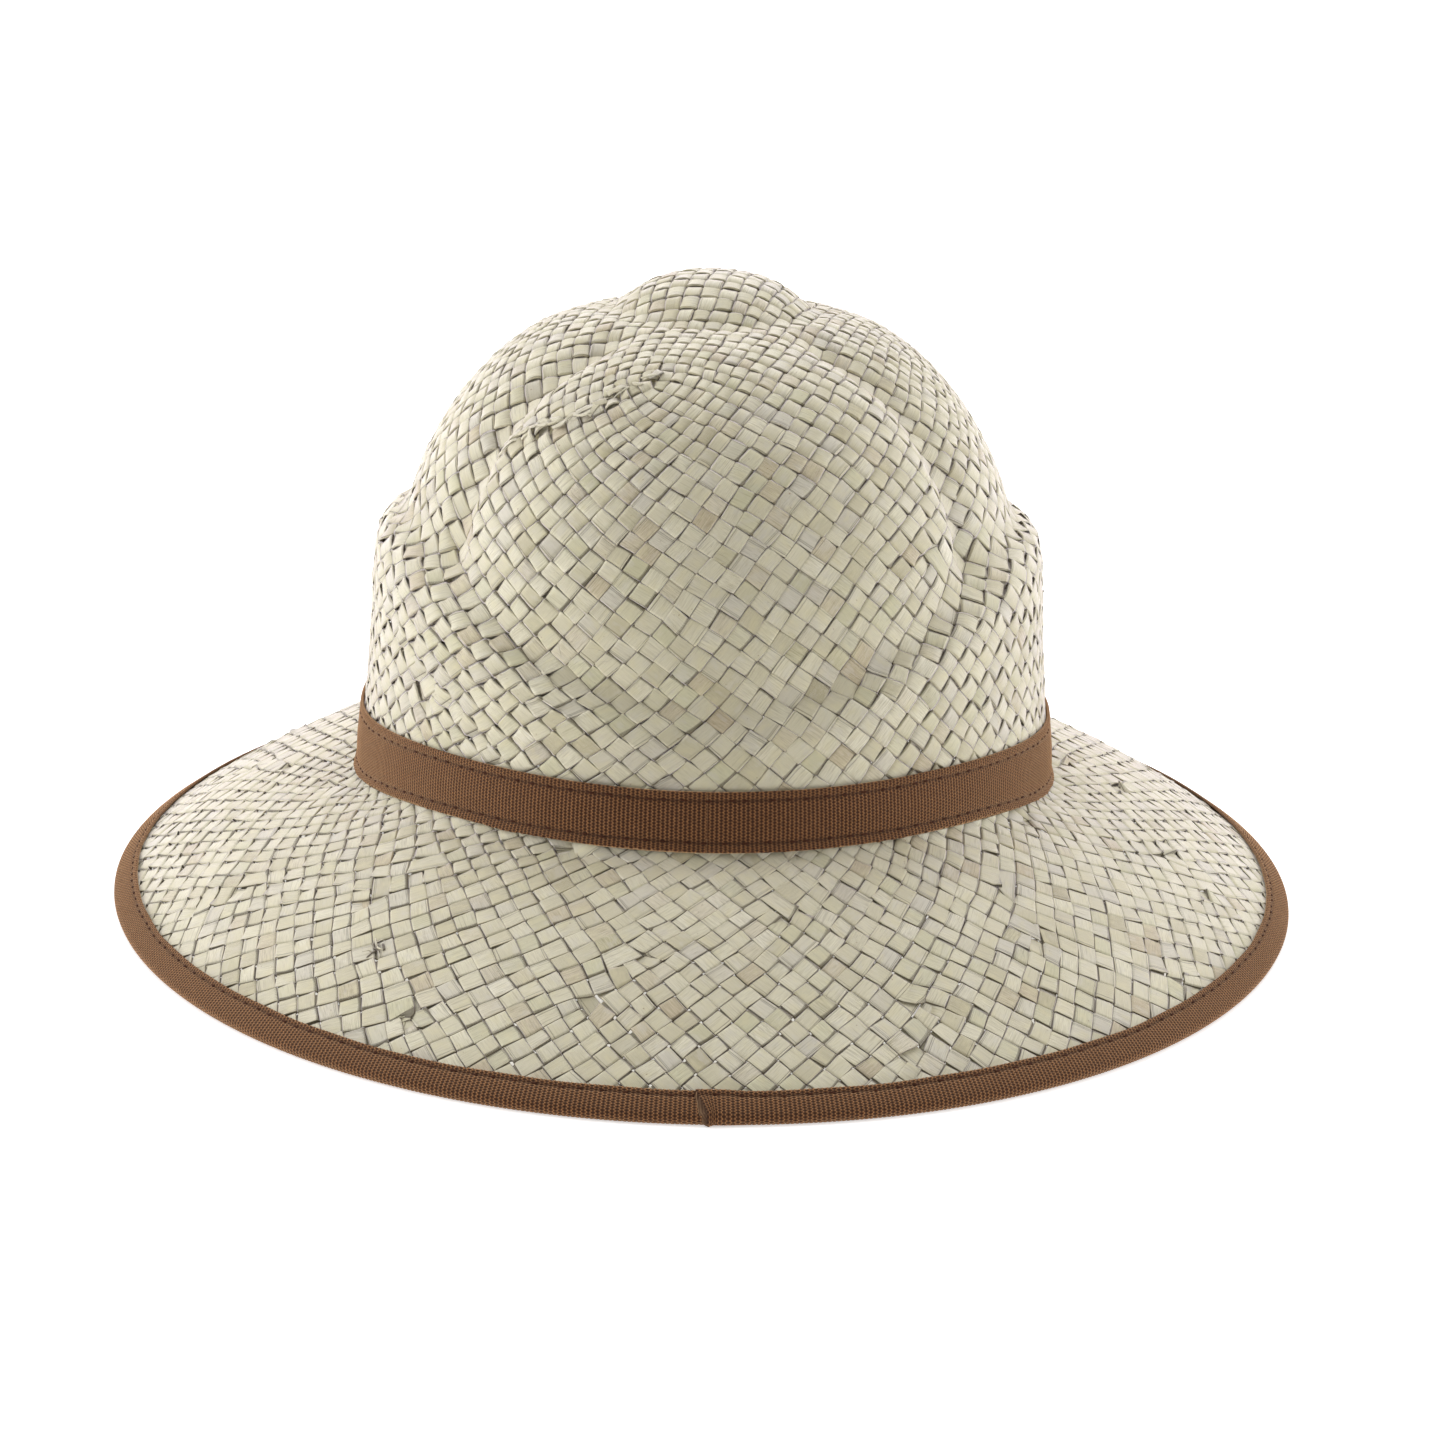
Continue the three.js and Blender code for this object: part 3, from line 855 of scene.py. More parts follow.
def band(material):
    ribs = int(round(604.0 / RIB_PITCH))
    n = ribs * RIB_SAMPLES
    theta = np.arange(n) * TAU / n
    high = band_height(theta)
    rib = np.tile(RIB_SHAPE, ribs)
    edge_top = ripple(theta, 5, (5, 9, 14, 23, 31), 0.22)
    edge_low = ripple(theta, 6, (4, 7, 13, 26, 47), 0.25) + 0.10 * np.repeat(np.random.default_rng(8).normal(size=ribs), RIB_SAMPLES)
    pucker = 0.12 * (1 + ripple(theta, 7, (9, 17, 31, 52, 71), 0.9))
    # distance from the upper edge in mm for each row of the face
    rows = [("t", 0.0), ("t", 0.35), ("t", 1.5), ("t", 2.0), ("t", 2.3), ("t", 2.6), ("t", 3.2), ("m", 0.5),
            ("b", 3.3), ("b", 2.7), ("b", 2.4), ("b", 2.1), ("b", 1.5), ("b", 0.35), ("b", 0.0)]
    rings, attrs = [], []
    for kind, d in rows:
        if kind == "t":
            mm = d + edge_top * (1 - d / 4)
            line = abs(d - BAND_STITCH_TOP)
        elif kind == "b":
            mm = high - d + edge_low * (1 - d / 4)
            line = abs(d - BAND_STITCH_BOTTOM)
        else:
            mm = high * d
            line = 9.0
        sunk_and_shade = 0.22 * math.exp(-(line / 0.42) ** 2)
        puff = 0.10 * smooth(np.minimum(mm, high - mm) / 1.2)
        rim = 0.12 if d in (0.0,) and kind in "tb" else 0.0
        lift = BAND_LIFT + RIBBON_THICK - 0.1 + puff - sunk_and_shade - rim + RIB_HEIGHT * rib * (0.45 if sunk_and_shade > 0.1 else 1.0)
        lift = lift + pucker * (1.0 if kind == "m" else 0.35)
        rings.append(band_line(theta, mm / high, lift))
        # the sunk stitch lines are also given painted shade
        attrs.append(np.stack([theta / TAU * ribs, mm, np.full(n, sunk_and_shade)], -1))
    for share in (1.0, 0.5, 0.0):
        mm = high * share
        rings.append(band_line(theta, mm / high, np.full(n, BAND_LIFT)))
        attrs.append(np.stack([theta / TAU * ribs, mm, np.zeros(n)], -1))
    rings, attrs = np.array(rings), np.array(attrs)
    points = rings.transpose(1, 0, 2).reshape(-1, 3)
    attrs = attrs.transpose(1, 0, 2).reshape(-1, 3)
    m = len(rings)
    quads = loop_faces(n, m)
    make_mesh("hatband_ribbon", points, quads, {"ribbon": attrs}, material, "hatband")
    print("band triangles", 2 * len(quads))


def loop_faces(n, m):
    """Faces of a closed section of m points carried round n places and joined to its start."""
    i = np.arange(n)[:, None]
    j = np.arange(m)[None, :]
    a, b = (i + 1) % n, (j + 1) % m
    return np.stack([i * m + j, i * m + b, a * m + b, a * m + j], -1).reshape(-1, 4)


# the binding, folded round the edge of the brim
BINDING_IN, BINDING_OUT = 0.98, 1.62
LAP_AT = -0.0145            # direction of the lap's visible end, radians
LAP_OVER = 0.035            # how far the tape's other end runs on under it
BINDING_STITCH = 1.4        # from the inner edge
BINDING_STITCH_EVERY, BINDING_STITCH_LONG = 4.9, 1.3


def edge_frame(theta):
    phi = phi_of(theta)
    s = np.full_like(phi, STRAW_END)
    edge, up = outer(phi, s), normal(phi, s)
    out = edge - outer(phi, s - 0.3)
    out = unit(out - up * (out * up).sum(-1, keepdims=True))
    return edge, up, out


def binding_point(theta, s, lift):
    """s outwards along the slope from the straw's edge, lift above the middle of the straw."""
    edge, up, out = edge_frame(theta)
    p = edge + up * (np.asarray(lift) - STRAW_WALL / 2)[..., None] + out * np.asarray(s)[..., None]
    p[..., 2] = np.maximum(p[..., 2], 0.02)
    return p


def binding(material):
    ribs = int(round(1010.0 / RIB_PITCH))
    step = TAU / (ribs * RIB_SAMPLES)
    n = ribs * RIB_SAMPLES + int(LAP_OVER / step)
    theta = LAP_AT + np.arange(n) * step
    count = np.arange(n) / RIB_SAMPLES
    rib = RIB_SHAPE[np.arange(n) % RIB_SAMPLES]
    start = 1 - smooth((theta - theta[0] - LAP_OVER * 0.9) / 0.045)
    wavy = ripple(theta, 11, (6, 11, 17, 29, 43), 0.18)
    flat_rows = [-BINDING_WIDTH, -BINDING_WIDTH + 0.35, -BINDING_WIDTH + 1.0, -BINDING_WIDTH + 1.4, -BINDING_WIDTH + 1.8, -3.3, -1.7]
    section_rows = [(s, 1.0, 0.0) for s in flat_rows]
    for k in range(0, 7):
        t = math.pi / 2 - math.pi * k / 6
        section_rows.append((0.85 * math.cos(t) * BINDING_OUT, math.sin(t), 1.0))
    section_rows += [(s, -1.0, 0.0) for s in (-3.7, -BINDING_WIDTH + 0.3, -BINDING_WIDTH)]
    rings, attrs, run = [], [], 0.0
    before = None
    for s, side, fold in section_rows:
        line = abs(s + BINDING_WIDTH - BINDING_STITCH)
        sunk_and_shade = 0.24 * math.exp(-(line / 0.42) ** 2) if fold == 0 else 0.0
        rim = 0.12 if s == -BINDING_WIDTH else 0.0
        swell = RIB_HEIGHT * rib * (0.45 if sunk_and_shade > 0.1 else 1.0) - sunk_and_shade - rim + 0.52 * start
        reach = s + (wavy if s < 2.0 - BINDING_WIDTH else 0.3 * wavy)
        if fold:
            lift = side * (BINDING_OUT - 0.1) + swell * side
            reach = 0.85 * math.sqrt(max(0.0, 1 - side * side)) * (BINDING_OUT - 0.1 + swell + 0.55 * np.exp(-((theta - theta[0]) / 0.010) ** 2))
        else:
            lift = side * (BINDING_OUT - 0.1 + swell)
        # the end of the lap is cut aslant
        width_share = (s + BINDING_WIDTH) / BINDING_WIDTH if side > -0.99 else 1.0
        slant = (0.0010 + 0.0155 * clamp01(width_share)) * np.exp(-((theta - theta[0]) / 0.02) ** 2)
        rings.append(binding_point(theta + slant, reach, lift))
        here = rings[-1][n // 2]
        run += 0.0 if before is None else float(np.linalg.norm(here - before))
        before = here
        # the sunk stitch line is also given painted shade, and the lap's cut end, at the first two places, a darker
        # painted shade
        dark = np.full(n, sunk_and_shade)
        dark[:2] = 0.4
        attrs.append(np.stack([count, np.full(n, run), dark], -1))
    for s, side in ((-BINDING_WIDTH, -1), (-0.2, -1), (0.55, 0), (-0.2, 1), (-BINDING_WIDTH, 1)):
        lift = side * (BINDING_IN + 0.40 * start)
        rings.append(binding_point(theta, np.full(n, s) + (wavy if s < 2.0 - BINDING_WIDTH else 0), np.full(n, 1.0) * lift))
        # the binding's inner rows are given painted shade
        attrs.append(np.stack([count, np.zeros(n), np.full(n, 0.4)], -1))
    rings, attrs = np.array(rings), np.array(attrs)
    m = len(rings)
    points = rings.transpose(1, 0, 2).reshape(-1, 3)
    attrs = attrs.transpose(1, 0, 2).reshape(-1, 3)
    i = np.arange(n - 1)[:, None] * m
    j = np.arange(m)[None, :]
    h = (j + 1) % m
    quads = np.stack([i + j, i + h, i + m + h, i + m + j], -1).reshape(-1, 4)
    # each end is closed between its outer and inner line
    inner = m - 5
    outer_ids = list(range(0, inner))
    inner_ids = [m - 1, m - 1, m - 2, m - 2, m - 2, m - 2, m - 2, m - 2, m - 2, m - 3, m - 3, m - 3, m - 4, m - 4, m - 4, m - 4, m - 5]
    ends = []
    pairs = list(zip(outer_ids, inner_ids[:len(outer_ids)]))
    for (a, c), (b, d) in zip(pairs[:-1], pairs[1:]):
        ends.append((a, b, d, c))
    tri = [q for q in ends]
    make_ends = [tuple(q) for q in tri]
    o = make_mesh_faces("brim_binding_ribbon", points, quads, make_ends, (n - 1) * m, {"ribbon": attrs}, material, "brim_binding")
    print("binding triangles", 2 * len(quads))
    return o


def make_mesh_faces(name, points, quads, ends, last, attributes, material, node):
    """As make_mesh, with end faces that may be triangles."""
    faces = [tuple(int(v) for v in q) for q in quads]
    for q in ends:
        seen = []
        for v in q:
            if v not in seen:
                seen.append(v)
        faces.append(tuple(seen[::-1]))
        faces.append(tuple(v + last for v in seen))
    mesh = bpy.data.meshes.new(name)
    mesh.from_pydata((np.asarray(points, float) * MM).tolist(), [], faces)
    mesh.update()
    mesh.validate()
    mesh.polygons.foreach_set("use_smooth", np.ones(len(mesh.polygons), bool))
    for key, values in attributes.items():
        layer = mesh.attributes.new(key, "FLOAT_VECTOR", "POINT")
        layer.data.foreach_set("vector", np.asarray(values, np.float32).ravel())
    mesh.materials.append(material)
    o = bpy.data.objects.new(name, mesh)
    bpy.context.scene.collection.objects.link(o)
    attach(o, "root")
    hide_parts(node)
    return o


# ------------------------------------------------------------------ stitches
STITCH_SHAPE = np.array([(-0.5, 0.35), (-0.36, 0.85), (-0.12, 1.0), (0.12, 1.0), (0.36, 0.85), (0.5, 0.35)])
STITCH_SIDES = 6


def stitch_rings(ends_a, ends_b, up, radius):
    """Short threads between pairs of points, a little humped."""
    mid = (ends_a + ends_b) / 2
    span = ends_b - ends_a
    length = np.linalg.norm(span, axis=-1, keepdims=True)
    t = span / length
    side = unit(np.cross(up, t))
    out = []
    for along, size in STITCH_SHAPE:
        centre = mid + span * along + up * (radius * 0.6 * (size - 0.8))
        ring = []
        for k in range(STITCH_SIDES):
            a = TAU * k / STITCH_SIDES
            ring.append(centre + (side * math.cos(a) * 1.25 + up * math.sin(a)) * radius * size)
        out.append(np.stack(ring, 1))
    return np.stack(out, 1)            # stitches, rings, sides, 3


def stitches(name, groups, material, node):
    points, quads, start = [], [], 0
    for rings in groups:
        one = tube_faces(rings.shape[1], rings.shape[2])
        per = rings.shape[1] * rings.shape[2]
        for r in rings:
            points.append(r.reshape(-1, 3))
            quads.append(one + start)
            start += per
    quads = np.concatenate(quads)
    points = np.concatenate(points)
    points[:, 2] = np.maximum(points[:, 2], 0.02)
    make_mesh(name, points, quads[:, ::-1], {}, material, node)
    print(name, "triangles", 2 * len(quads))


def band_stitches(material):
    n = int(round(604.0 / BAND_STITCH_EVERY))
    groups = []
    for from_top, mm, seed in ((True, BAND_STITCH_TOP, 21), (False, BAND_STITCH_BOTTOM, 22)):
        r = np.random.default_rng(seed)
        theta = (np.arange(n) + 0.12 * r.normal(size=n).clip(-1.5, 1.5)) * TAU / n
        half = BAND_STITCH_LONG / 2 / 604.0 * TAU * (1 + 0.12 * r.normal(size=n).clip(-2, 2))
        high = band_height(theta)
        d = mm + 0.10 * r.normal(size=n).clip(-2, 2)
        share = (d / high) if from_top else (1 - d / high)
        lift = np.full(n, BAND_LIFT + RIBBON_THICK - 0.06)
        a, b = band_line(theta - half, share, lift), band_line(theta + half, share, lift)
        up = unit(band_line(theta, share, lift + 1) - band_line(theta, share, lift))
        groups.append(stitch_rings(a, b, up, 0.21))
    stitches("hatband_stitches", groups, material, "hatband")


def binding_stitches(material):
    n = int(round(1010.0 / BINDING_STITCH_EVERY))
    groups = []
    for side, seed in ((1, 31), (-1, 32)):
        r = np.random.default_rng(seed)
        theta = (np.arange(n) + 0.5 + 0.10 * r.normal(size=n).clip(-1.5, 1.5)) * TAU / n
        half = BINDING_STITCH_LONG / 2 / 1010.0 * TAU * (1 + 0.12 * r.normal(size=n).clip(-2, 2))
        turned = (theta - LAP_AT + np.pi) % TAU - np.pi
        over = 0.52 * (1 - smooth((turned - LAP_OVER * 0.9) / 0.045)) * (turned > 0)
        s = -BINDING_WIDTH + BINDING_STITCH + ripple(theta, 11, (6, 11, 17, 29, 43), 0.18) + 0.08 * r.normal(size=n).clip(-2, 2)
        lift = side * (BINDING_OUT - 0.18 + over)
        a, b = binding_point(theta - half, s, lift), binding_point(theta + half, s, lift)
        up = unit(binding_point(theta, s, lift + side) - binding_point(theta, s, lift))
        groups.append(stitch_rings(a, b, up, 0.2))
    stitches("brim_binding_stitches", groups, material, "brim_binding")


# ------------------------------------------------------------------ materials
class Nodes:
    """A short way to write a node tree."""

    def __init__(self, name):
        self.mat = bpy.data.materials.new(name)
        self.mat.use_nodes = True
        self.tree = self.mat.node_tree
        self.tree.nodes.clear()
        self.out = self.tree.nodes.new("ShaderNodeOutputMaterial")
        self.shader = self.tree.nodes.new("ShaderNodeBsdfPrincipled")
        self.tree.links.new(self.shader.outputs[0], self.out.inputs[0])

    def new(self, kind, **settings):
        node = self.tree.nodes.new(kind)
        for k, v in settings.items():
            setattr(node, k, v)
        return node

    def put(self, socket, value):
        if isinstance(value, bpy.types.NodeSocket):
            self.tree.links.new(value, socket)
        elif value is not None:
            socket.default_value = value

    def math(self, operation, a, b=None, c=None, clamp=False):
        n = self.new("ShaderNodeMath", operation=operation, use_clamp=clamp)
        for s, v in zip(n.inputs, (a, b, c)):
            self.put(s, v)
        return n.outputs[0]

    def split(self, vector):
        n = self.new("ShaderNodeSeparateXYZ")
        self.put(n.inputs[0], vector)
        return n.outputs[0], n.outputs[1], n.outputs[2]

    def join(self, x=0.0, y=0.0, z=0.0):
        n = self.new("ShaderNodeCombineXYZ")
        for s, v in zip(n.inputs, (x, y, z)):
            self.put(s, v)
        return n.outputs[0]

    def attribute(self, name):
        n = self.new("ShaderNodeAttribute", attribute_name=name)
        return self.split(n.outputs["Vector"])

    def random(self, vector):
        n = self.new("ShaderNodeTexWhiteNoise", noise_dimensions="3D")
        self.put(n.inputs["Vector"], vector)
        c = self.new("ShaderNodeSeparateColor")
        self.put(c.inputs[0], n.outputs["Color"])
        return n.outputs["Value"], c.outputs[0], c.outputs[1], c.outputs[2]

    def noise(self, vector, scale, detail=2.0, rough=0.5, distortion=0.0):
        n = self.new("ShaderNodeTexNoise", noise_dimensions="3D")
        self.put(n.inputs["Vector"], vector)
        self.put(n.inputs["Scale"], scale)
        self.put(n.inputs["Detail"], detail)
        self.put(n.inputs["Roughness"], rough)
        self.put(n.inputs["Distortion"], distortion)
        return n.outputs[0]

    def step(self, value, lo, hi, out_lo=0.0, out_hi=1.0):
        n = self.new("ShaderNodeMapRange", interpolation_type="SMOOTHSTEP")
        for s, v in zip(n.inputs, (value, lo, hi, out_lo, out_hi)):
            self.put(s, v)
        return n.outputs[0]

    def mix(self, share, a, b, blend="MIX"):
        n = self.new("ShaderNodeMix", data_type="RGBA", blend_type=blend)
        self.put(n.inputs[0], share)
        self.put(n.inputs[6], a)
        self.put(n.inputs[7], b)
        return n.outputs[2]

    def ramp(self, value, stops):
        n = self.new("ShaderNodeValToRGB")
        self.put(n.inputs[0], value)
        e = n.color_ramp.elements
        while len(e) < len(stops):
            e.new(0.5)
        for item, (at, colour) in zip(e, stops):
            item.position = at
            item.color = rgb(*colour)
        return n.outputs[0]

    def bump(self, height, strength, distance, before=None):
        n = self.new("ShaderNodeBump")
        self.put(n.inputs["Strength"], strength)
        self.put(n.inputs["Distance"], distance)
        self.put(n.inputs["Height"], height)
        if before is not None:
            self.put(n.inputs["Normal"], before)
        return n.outputs[0]


def rgb(r, g, b):
    """An sRGB colour, 0 to 255, as the shader takes it."""
    out = []
    for v in (r, g, b):
        v /= 255.0
        out.append(v / 12.92 if v <= 0.04045 else ((v + 0.055) / 1.055) ** 2.4)
    return (*out, 1.0)


def straw_material():
    m = Nodes("plaited_straw")
    s, p, strand = m.attribute("weave")
    across, along, place = m.attribute("flat")
    cell = m.math("FLOOR", p)
    inside = m.math("SUBTRACT", p, cell)
    tone, r1, r2, r3 = m.random(m.join(cell, strand, 3.0))
    whole, w1, w2, w3 = m.random(m.join(strand, 7.0, 11.0))
    # each strip has its own tone and each visible cell drifts from it
    mixed = m.math("ADD", m.math("MULTIPLY", tone, 0.66), m.math("MULTIPLY", whole, 0.34))
    base = m.ramp(mixed, STRAW_TONES)
    base = m.mix(m.step(r1, 0.86, 1.0, 0.0, 0.75), base, rgb(*STRAW_BROWN))
    base = m.mix(m.step(r2, 0.74, 1.0, 0.0, 0.75), base, rgb(*STRAW_GREY))
    base = m.mix(m.step(r3, 0.82, 1.0, 0.0, 0.6), base, rgb(*STRAW_GREEN))
    # fibres run along the strip
    fibre = m.noise(m.join(m.math("MULTIPLY", across, 3.0), m.math("MULTIPLY", along, 0.14), m.math("MULTIPLY", strand, 3.7)), 1.0, 3.0, 0.6)
    fine = m.noise(m.join(m.math("MULTIPLY", across, 9.0), m.math("MULTIPLY", along, 0.3), m.math("MULTIPLY", strand, 5.1)), 1.0, 2.0, 0.6)
    base = m.mix(m.step(w1, 0.2, 1.0, 0.25, 0.85), base, m.ramp(fibre, [(0.30, (208, 204, 190)), (0.50, (255, 255, 255)), (0.72, (240, 240, 230))]), "MULTIPLY")
    base = m.mix(m.step(r1, 0.3, 1.0, 0.15, 0.6), base, m.ramp(fine, [(0.36, (190, 184, 166)), (0.54, (255, 255, 255))]), "MULTIPLY")
    # cloudy patches, and a few stained ones
    cloud = m.noise(m.join(across, m.math("MULTIPLY", along, 0.55), m.math("MULTIPLY", strand, 1.9)), 0.42, 2.0, 0.5)
    base = m.mix(m.step(cloud, 0.50, 0.72, 0.0, 0.4), base, rgb(*STRAW_YELLOW))
    base = m.mix(m.step(cloud, 0.30, 0.44, 0.35, 0.0), base, rgb(*STRAW_GREY))
    # split and folded edges leave thin darker lines along some cells
    fold = m.math("ADD", 0.62, m.math("MULTIPLY", r3, 0.28))
    way = m.math("SUBTRACT", m.math("MULTIPLY", m.math("GREATER_THAN", r1, 0.5), 2.0), 1.0)
    turned = m.math("MULTIPLY", s, way)
    off = m.math("ABSOLUTE", m.math("SUBTRACT", turned, fold))
    line = m.math("MULTIPLY", m.step(off, 0.01, 0.075, 1.0, 0.0), m.step(r2, 0.36, 0.60))
    off_2 = m.math("ABSOLUTE", m.math("SUBTRACT", turned, m.math("SUBTRACT", fold, 0.15)))
    line_2 = m.math("MULTIPLY", m.step(off_2, 0.01, 0.06, 0.8, 0.0), m.step(r2, 0.72, 0.84))
    # at one end of a cell the strip arches; the narrow dark crescent under the arched end is painted shade, broken by
    # one thin lighter line
    bulge = m.math("SUBTRACT", 1.0, m.math("MULTIPLY", s, s))
    far = m.math("SUBTRACT", inside, m.math("MULTIPLY", bulge, 0.05))
    reach = m.math("SUBTRACT", 0.895, m.math("MULTIPLY", m.step(r3, 0.45, 1.0), 0.075))
    open_end = m.step(m.math("SUBTRACT", far, reach), 0.0, 0.012)
    thread = m.step(m.math("ABSOLUTE", m.math("SUBTRACT", m.math("SUBTRACT", far, reach), 0.030)), 0.004, 0.012, 0.75, 0.0)
    crescent_shade = m.math("MULTIPLY", m.math("MULTIPLY", open_end, m.math("SUBTRACT", 1.0, thread)), m.step(r3, 0.35, 0.6, 0.0, 0.9))
    # the fold lines are real marks, and the crescent is painted shade; both darken the colour and the bump
    lines = m.math("MAXIMUM", m.math("MULTIPLY", m.math("MAXIMUM", line, line_2), 0.7), crescent_shade)
    base = m.mix(m.math("MULTIPLY", lines, 0.85), base, rgb(*STRAW_DARK_LINES_AND_SHADE))
    # painted shade at the very edges of each strip and where it dives under its neighbour; the same edge mask also
    # gives the dark loose ends their own dark colour
    rim = m.step(m.math("ABSOLUTE", s), 0.925, 0.985)
    dive = m.step(m.math("ABSOLUTE", m.math("SUBTRACT", inside, 0.5)), 0.465, 0.5)
    painted_shade_and_dark_ends = m.math("MAXIMUM", m.math("MULTIPLY", rim, 0.9), m.math("MULTIPLY", dive, 0.95))
    # tiny dark flecks
    fleck = m.noise(m.join(m.math("MULTIPLY", across, 1.3), m.math("MULTIPLY", along, 1.1), m.math("MULTIPLY", strand, 2.3)), 1.0, 1.0, 0.5)
    base = m.mix(m.step(fleck, 0.775, 0.80, 0.0, 0.55), base, rgb(*STRAW_FLECK))
    # the painted edge and dive shade goes on last, over the flecks
    base = m.mix(painted_shade_and_dark_ends, base, rgb(*STRAW_DARK_LINES_AND_SHADE))
    m.put(m.shader.inputs["Base Color"], base)
    m.put(m.shader.inputs["Roughness"], m.step(fibre, 0.2, 0.8, 0.40, 0.58))
    m.put(m.shader.inputs["Specular IOR Level"], 0.45)
    m.put(m.shader.inputs["Sheen Weight"], STRAW_SHEEN)
    m.put(m.shader.inputs["Sheen Roughness"], 0.38)
    m.put(m.shader.inputs["Sheen Tint"], rgb(255, 244, 248))
    height = m.math("ADD", m.math("MULTIPLY", fibre, 0.6), m.math("MULTIPLY", fine, 0.4))
    height = m.math("SUBTRACT", height, m.math("MULTIPLY", lines, 0.9))
    m.put(m.shader.inputs["Normal"], m.bump(height, 0.35, 0.00022))
    return m.mat


STRAW_TONES = [
    (0.00, (166, 155, 122)),
    (0.14, (192, 184, 154)),
    (0.42, (210, 203, 177)),
    (0.78, (221, 215, 191)),
    (1.00, (238, 232, 216)),
]
STRAW_BROWN = (178, 160, 126)
STRAW_GREY = (201, 195, 182)
STRAW_GREEN = (192, 189, 152)
STRAW_YELLOW = (208, 199, 160)
# dark of the real fold lines and dark loose ends, and of the painted shade at strip edges, dives and crescents
STRAW_DARK_LINES_AND_SHADE = (74, 62, 38)
STRAW_FLECK = (128, 92, 54)
STRAW_SHEEN = 1.0
RIBBON_TONE = (118, 72, 38)
# painted highlight on the ribbon's raised beads
RIBBON_BEAD_HIGHLIGHT = (178, 126, 80)
# dark of the ribbon's specks, and of its painted shade between beads, in rib valleys and along stitch lines
RIBBON_DARK_AND_SHADE = (52, 28, 14)
THREAD_TONE = (48, 24, 12)


def ribbon_material():
    m = Nodes("grosgrain_ribbon")
    count, mm, sunk_and_shade = m.attribute("ribbon")
    rib = m.math("FLOOR", m.math("ADD", count, 0.5))
    inside = m.math("SUBTRACT", m.math("ADD", count, 0.5), rib)
    valley_shade = m.step(m.math("ABSOLUTE", m.math("SUBTRACT", inside, 0.5)), 0.10, 0.42, 0.0, 1.0)
    valley_shade = m.math("SUBTRACT", 1.0, valley_shade)
    tone, r1, r2, r3 = m.random(m.join(rib, 5.0, 2.0))
    # threads cross each rib as small beads, staggered from rib to rib
    odd = m.math("MULTIPLY", m.math("MODULO", rib, 2.0), 0.5)
    bead = m.math("SINE", m.math("MULTIPLY", m.math("ADD", m.math("DIVIDE", mm, 0.70), odd), TAU))
    bead = m.math("MULTIPLY", m.math("ADD", bead, 1.0), 0.5)
    cloud = m.noise(m.join(m.math("MULTIPLY", count, 0.09), m.math("MULTIPLY", mm, 0.22), 0.0), 1.0, 3.0, 0.55)
    speck = m.noise(m.join(m.math("MULTIPLY", count, 1.3), m.math("MULTIPLY", mm, 1.9), 4.0), 1.0, 3.0, 0.7)
    base = m.mix(m.step(cloud, 0.30, 0.70, 0.0, 1.0), rgb(*RIBBON_TONE), rgb(122, 78, 48))
    base = m.mix(m.math("MULTIPLY", tone, 0.3), base, rgb(96, 58, 34))
    # painted highlight on the raised beads, and painted shade between them
    base = m.mix(m.step(bead, 0.35, 0.95, 0.0, 0.9), base, rgb(*RIBBON_BEAD_HIGHLIGHT))
    base = m.mix(m.step(bead, 0.0, 0.5, 0.75, 0.0), base, rgb(*RIBBON_DARK_AND_SHADE))
    base = m.mix(m.step(speck, 0.30, 0.62, 0.55, 0.0), base, rgb(*RIBBON_DARK_AND_SHADE))
    # painted shade in the valleys between the ribs
    base = m.mix(m.math("MULTIPLY", valley_shade, 0.85), base, rgb(*RIBBON_DARK_AND_SHADE))
    # painted shade along the sunk stitch lines, on the lap's cut end and on the binding's inner rows
    base = m.mix(m.step(sunk_and_shade, 0.02, 0.22, 0.0, 0.65), base, rgb(*RIBBON_DARK_AND_SHADE))
    m.put(m.shader.inputs["Base Color"], base)
    m.put(m.shader.inputs["Roughness"], m.step(speck, 0.2, 0.8, 0.72, 0.9))
    m.put(m.shader.inputs["Specular IOR Level"], 0.25)
    m.put(m.shader.inputs["Sheen Weight"], 0.9)
    m.put(m.shader.inputs["Sheen Roughness"], 0.42)
    m.put(m.shader.inputs["Sheen Tint"], rgb(240, 194, 148))
    height = m.math("ADD", m.math("MULTIPLY", bead, 0.5), m.math("MULTIPLY", speck, 0.4))
    m.put(m.shader.inputs["Normal"], m.bump(height, 0.8, 0.0003))
    return m.mat


def thread_material():
    m = Nodes("stitch_thread")
    place = m.new("ShaderNodeTexCoord").outputs["Object"]
    twist = m.noise(place, 2600.0, 2.0, 0.6)
    base = m.mix(twist, rgb(*THREAD_TONE), rgb(84, 46, 26))
    m.put(m.shader.inputs["Base Color"], base)
    m.put(m.shader.inputs["Roughness"], 0.8)
    m.put(m.shader.inputs["Specular IOR Level"], 0.2)
    m.put(m.shader.inputs["Normal"], m.bump(twist, 0.5, 0.0001))
    return m.mat


def floor_material():
    m = Nodes("pale_floor")
    place = m.new("ShaderNodeTexCoord").outputs["Object"]
    soft = m.noise(place, 2.0, 2.0, 0.5)
    base = m.mix(soft, rgb(250, 250, 250), rgb(252, 252, 252))
    m.put(m.shader.inputs["Base Color"], base)
    m.put(m.shader.inputs["Roughness"], 0.9)
    m.put(m.shader.inputs["Specular IOR Level"], 0.1)
    m.put(m.shader.inputs["Emission Color"], (1.0, 1.0, 1.0, 1.0))
    m.put(m.shader.inputs["Emission Strength"], FLOOR_GLOW)
    return m.mat


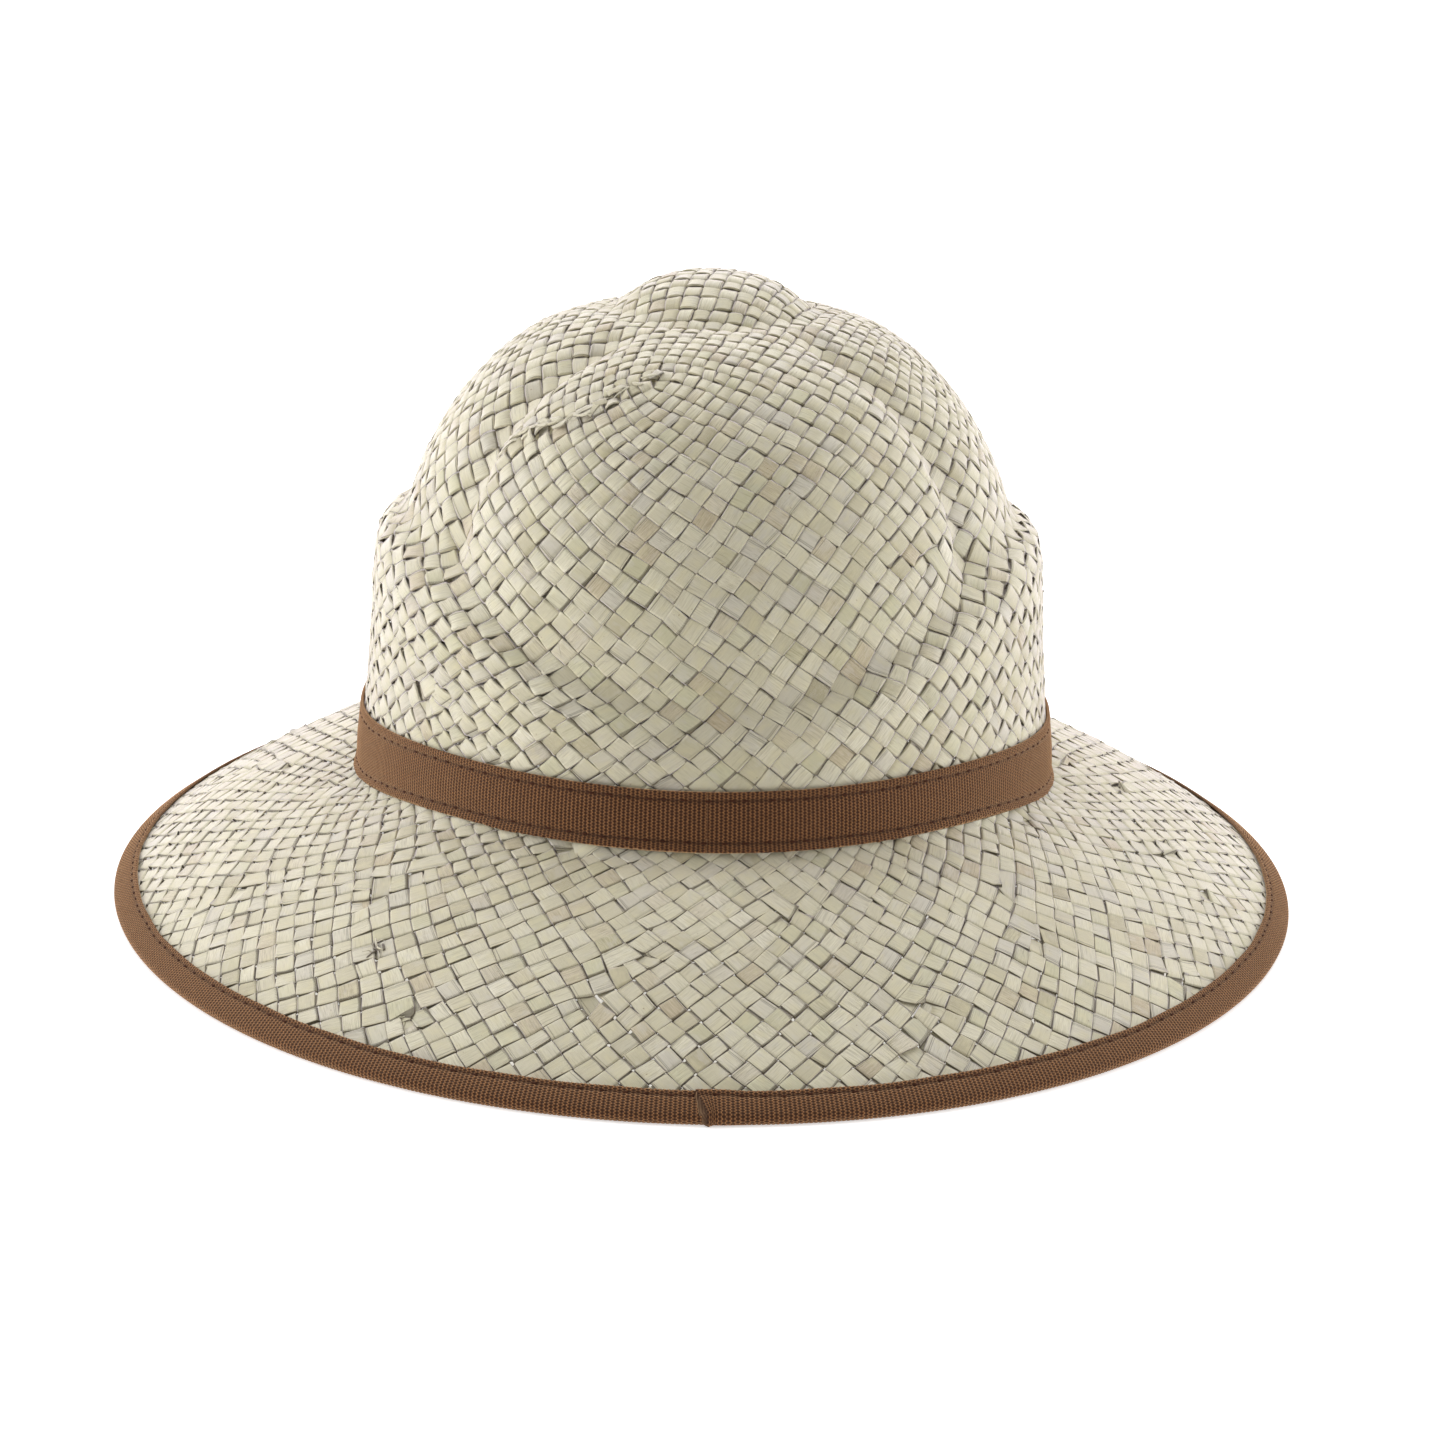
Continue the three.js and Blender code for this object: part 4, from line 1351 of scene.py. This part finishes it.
# ------------------------------------------------------------------ studio
def floor():
    """A pale sweep: flat under the hat and curving up far behind it."""
    wide, segments = 3.0, 24
    profile = [(-2.5, 0.0), (1.6, 0.0)]
    for k in range(1, segments + 1):
        a = math.pi / 2 * k / segments
        profile.append((1.6 + 1.2 * math.sin(a), 1.2 - 1.2 * math.cos(a)))
    profile.append((2.8, 3.0))
    points = [(x, y, z) for y, z in profile for x in (-wide, wide)]
    faces = [(2 * i, 2 * i + 1, 2 * i + 3, 2 * i + 2) for i in range(len(profile) - 1)]
    mesh = bpy.data.meshes.new("studio_floor")
    mesh.from_pydata(points, [], faces)
    mesh.polygons.foreach_set("use_smooth", [True] * len(faces))
    mesh.materials.append(floor_material())
    o = bpy.data.objects.new("studio_floor", mesh)
    bpy.context.scene.collection.objects.link(o)


def area(name, place, target, size, power, colour=(1, 1, 1)):
    light = bpy.data.lights.new(name, "AREA")
    light.shape = "RECTANGLE"
    light.size, light.size_y = size
    light.energy = power
    light.color = colour
    o = bpy.data.objects.new(name, light)
    bpy.context.scene.collection.objects.link(o)
    o.location = place
    o.rotation_mode = "QUATERNION"
    o.rotation_quaternion = (Vector(target) - Vector(place)).to_track_quat("-Z", "Y")
    return o


def studio():
    world = bpy.data.worlds.new("studio")
    bpy.context.scene.world = world
    world.use_nodes = True
    back = world.node_tree.nodes["Background"]
    back.inputs["Color"].default_value = (1.0, 1.0, 1.0, 1.0)
    back.inputs["Strength"].default_value = WORLD_LIGHT
    area("light_over", (0.0, 0.85, 1.65), (0, 0, 0.05), (1.6, 1.6), TOP_LIGHT)
    area("light_left", (-1.7, 0.15, 0.75), (0, 0, 0.08), (1.4, 1.4), LEFT_LIGHT)
    area("light_right", (1.7, 0.15, 0.75), (0, 0, 0.08), (1.4, 1.4), RIGHT_LIGHT)
    area("light_front", (0.0, -2.2, 1.1), (0, 0, 0.08), (1.6, 1.0), FRONT_LIGHT)
    area("light_wall", (0.0, 0.9, 2.4), (0, 2.8, 0.9), (3.0, 0.8), WALL_LIGHT)


WORLD_LIGHT = 0.285
TOP_LIGHT = 14.5
LEFT_LIGHT = 24.5
RIGHT_LIGHT = 18.0
FRONT_LIGHT = 1.2
WALL_LIGHT = 40.0
FLOOR_GLOW = 0.5

# the photograph's camera: where it stands, how far it looks down, its roll
# and its focal length, found from the edges of the brim and the band
CAMERA_BACK, CAMERA_UP = 850.0, 277.5
CAMERA_DOWN, CAMERA_ROLL = math.radians(15.65), math.radians(1.21)
CAMERA_TURN, CAMERA_ASIDE = math.radians(0.7), -1.3
CAMERA_LENS = 36.0 * 3521.0 / 1440.0
CAMERA_SHIFT = 9.9 / 1440.0


def camera():
    data = bpy.data.cameras.new("camera")
    data.sensor_width = 36.0
    data.sensor_fit = "HORIZONTAL"
    data.lens = CAMERA_LENS
    data.shift_x = CAMERA_SHIFT
    data.clip_start, data.clip_end = 0.05, 20.0
    o = bpy.data.objects.new("camera", data)
    bpy.context.scene.collection.objects.link(o)
    c, s = math.cos(-CAMERA_TURN), math.sin(-CAMERA_TURN)

    def turn(x, y, z):
        return Vector((x * c - y * s, x * s + y * c, z))

    look = turn(0, math.cos(CAMERA_DOWN), -math.sin(CAMERA_DOWN))
    right = turn(1, 0, 0)
    up = right.cross(look)
    cr, sr = math.cos(CAMERA_ROLL), math.sin(CAMERA_ROLL)
    right, up = right * cr + up * sr, up * cr - right * sr
    place = turn(-CAMERA_ASIDE, -CAMERA_BACK, CAMERA_UP) * MM
    m = Matrix((right, up, -look)).transposed().to_4x4()
    m.translation = place
    o.matrix_world = m
    bpy.context.scene.camera = o


# ------------------------------------------------------------------ assembly
camera()
straw = straw_material()
ribbon = ribbon_material()
thread = thread_material()
straw_pieces(straw)
loose_straw(straw)
band(ribbon)
binding(ribbon)
band_stitches(thread)
binding_stitches(thread)
floor()
studio()
bpy.context.scene.view_settings.view_transform = "Standard"
bpy.context.scene.view_settings.look = "None"
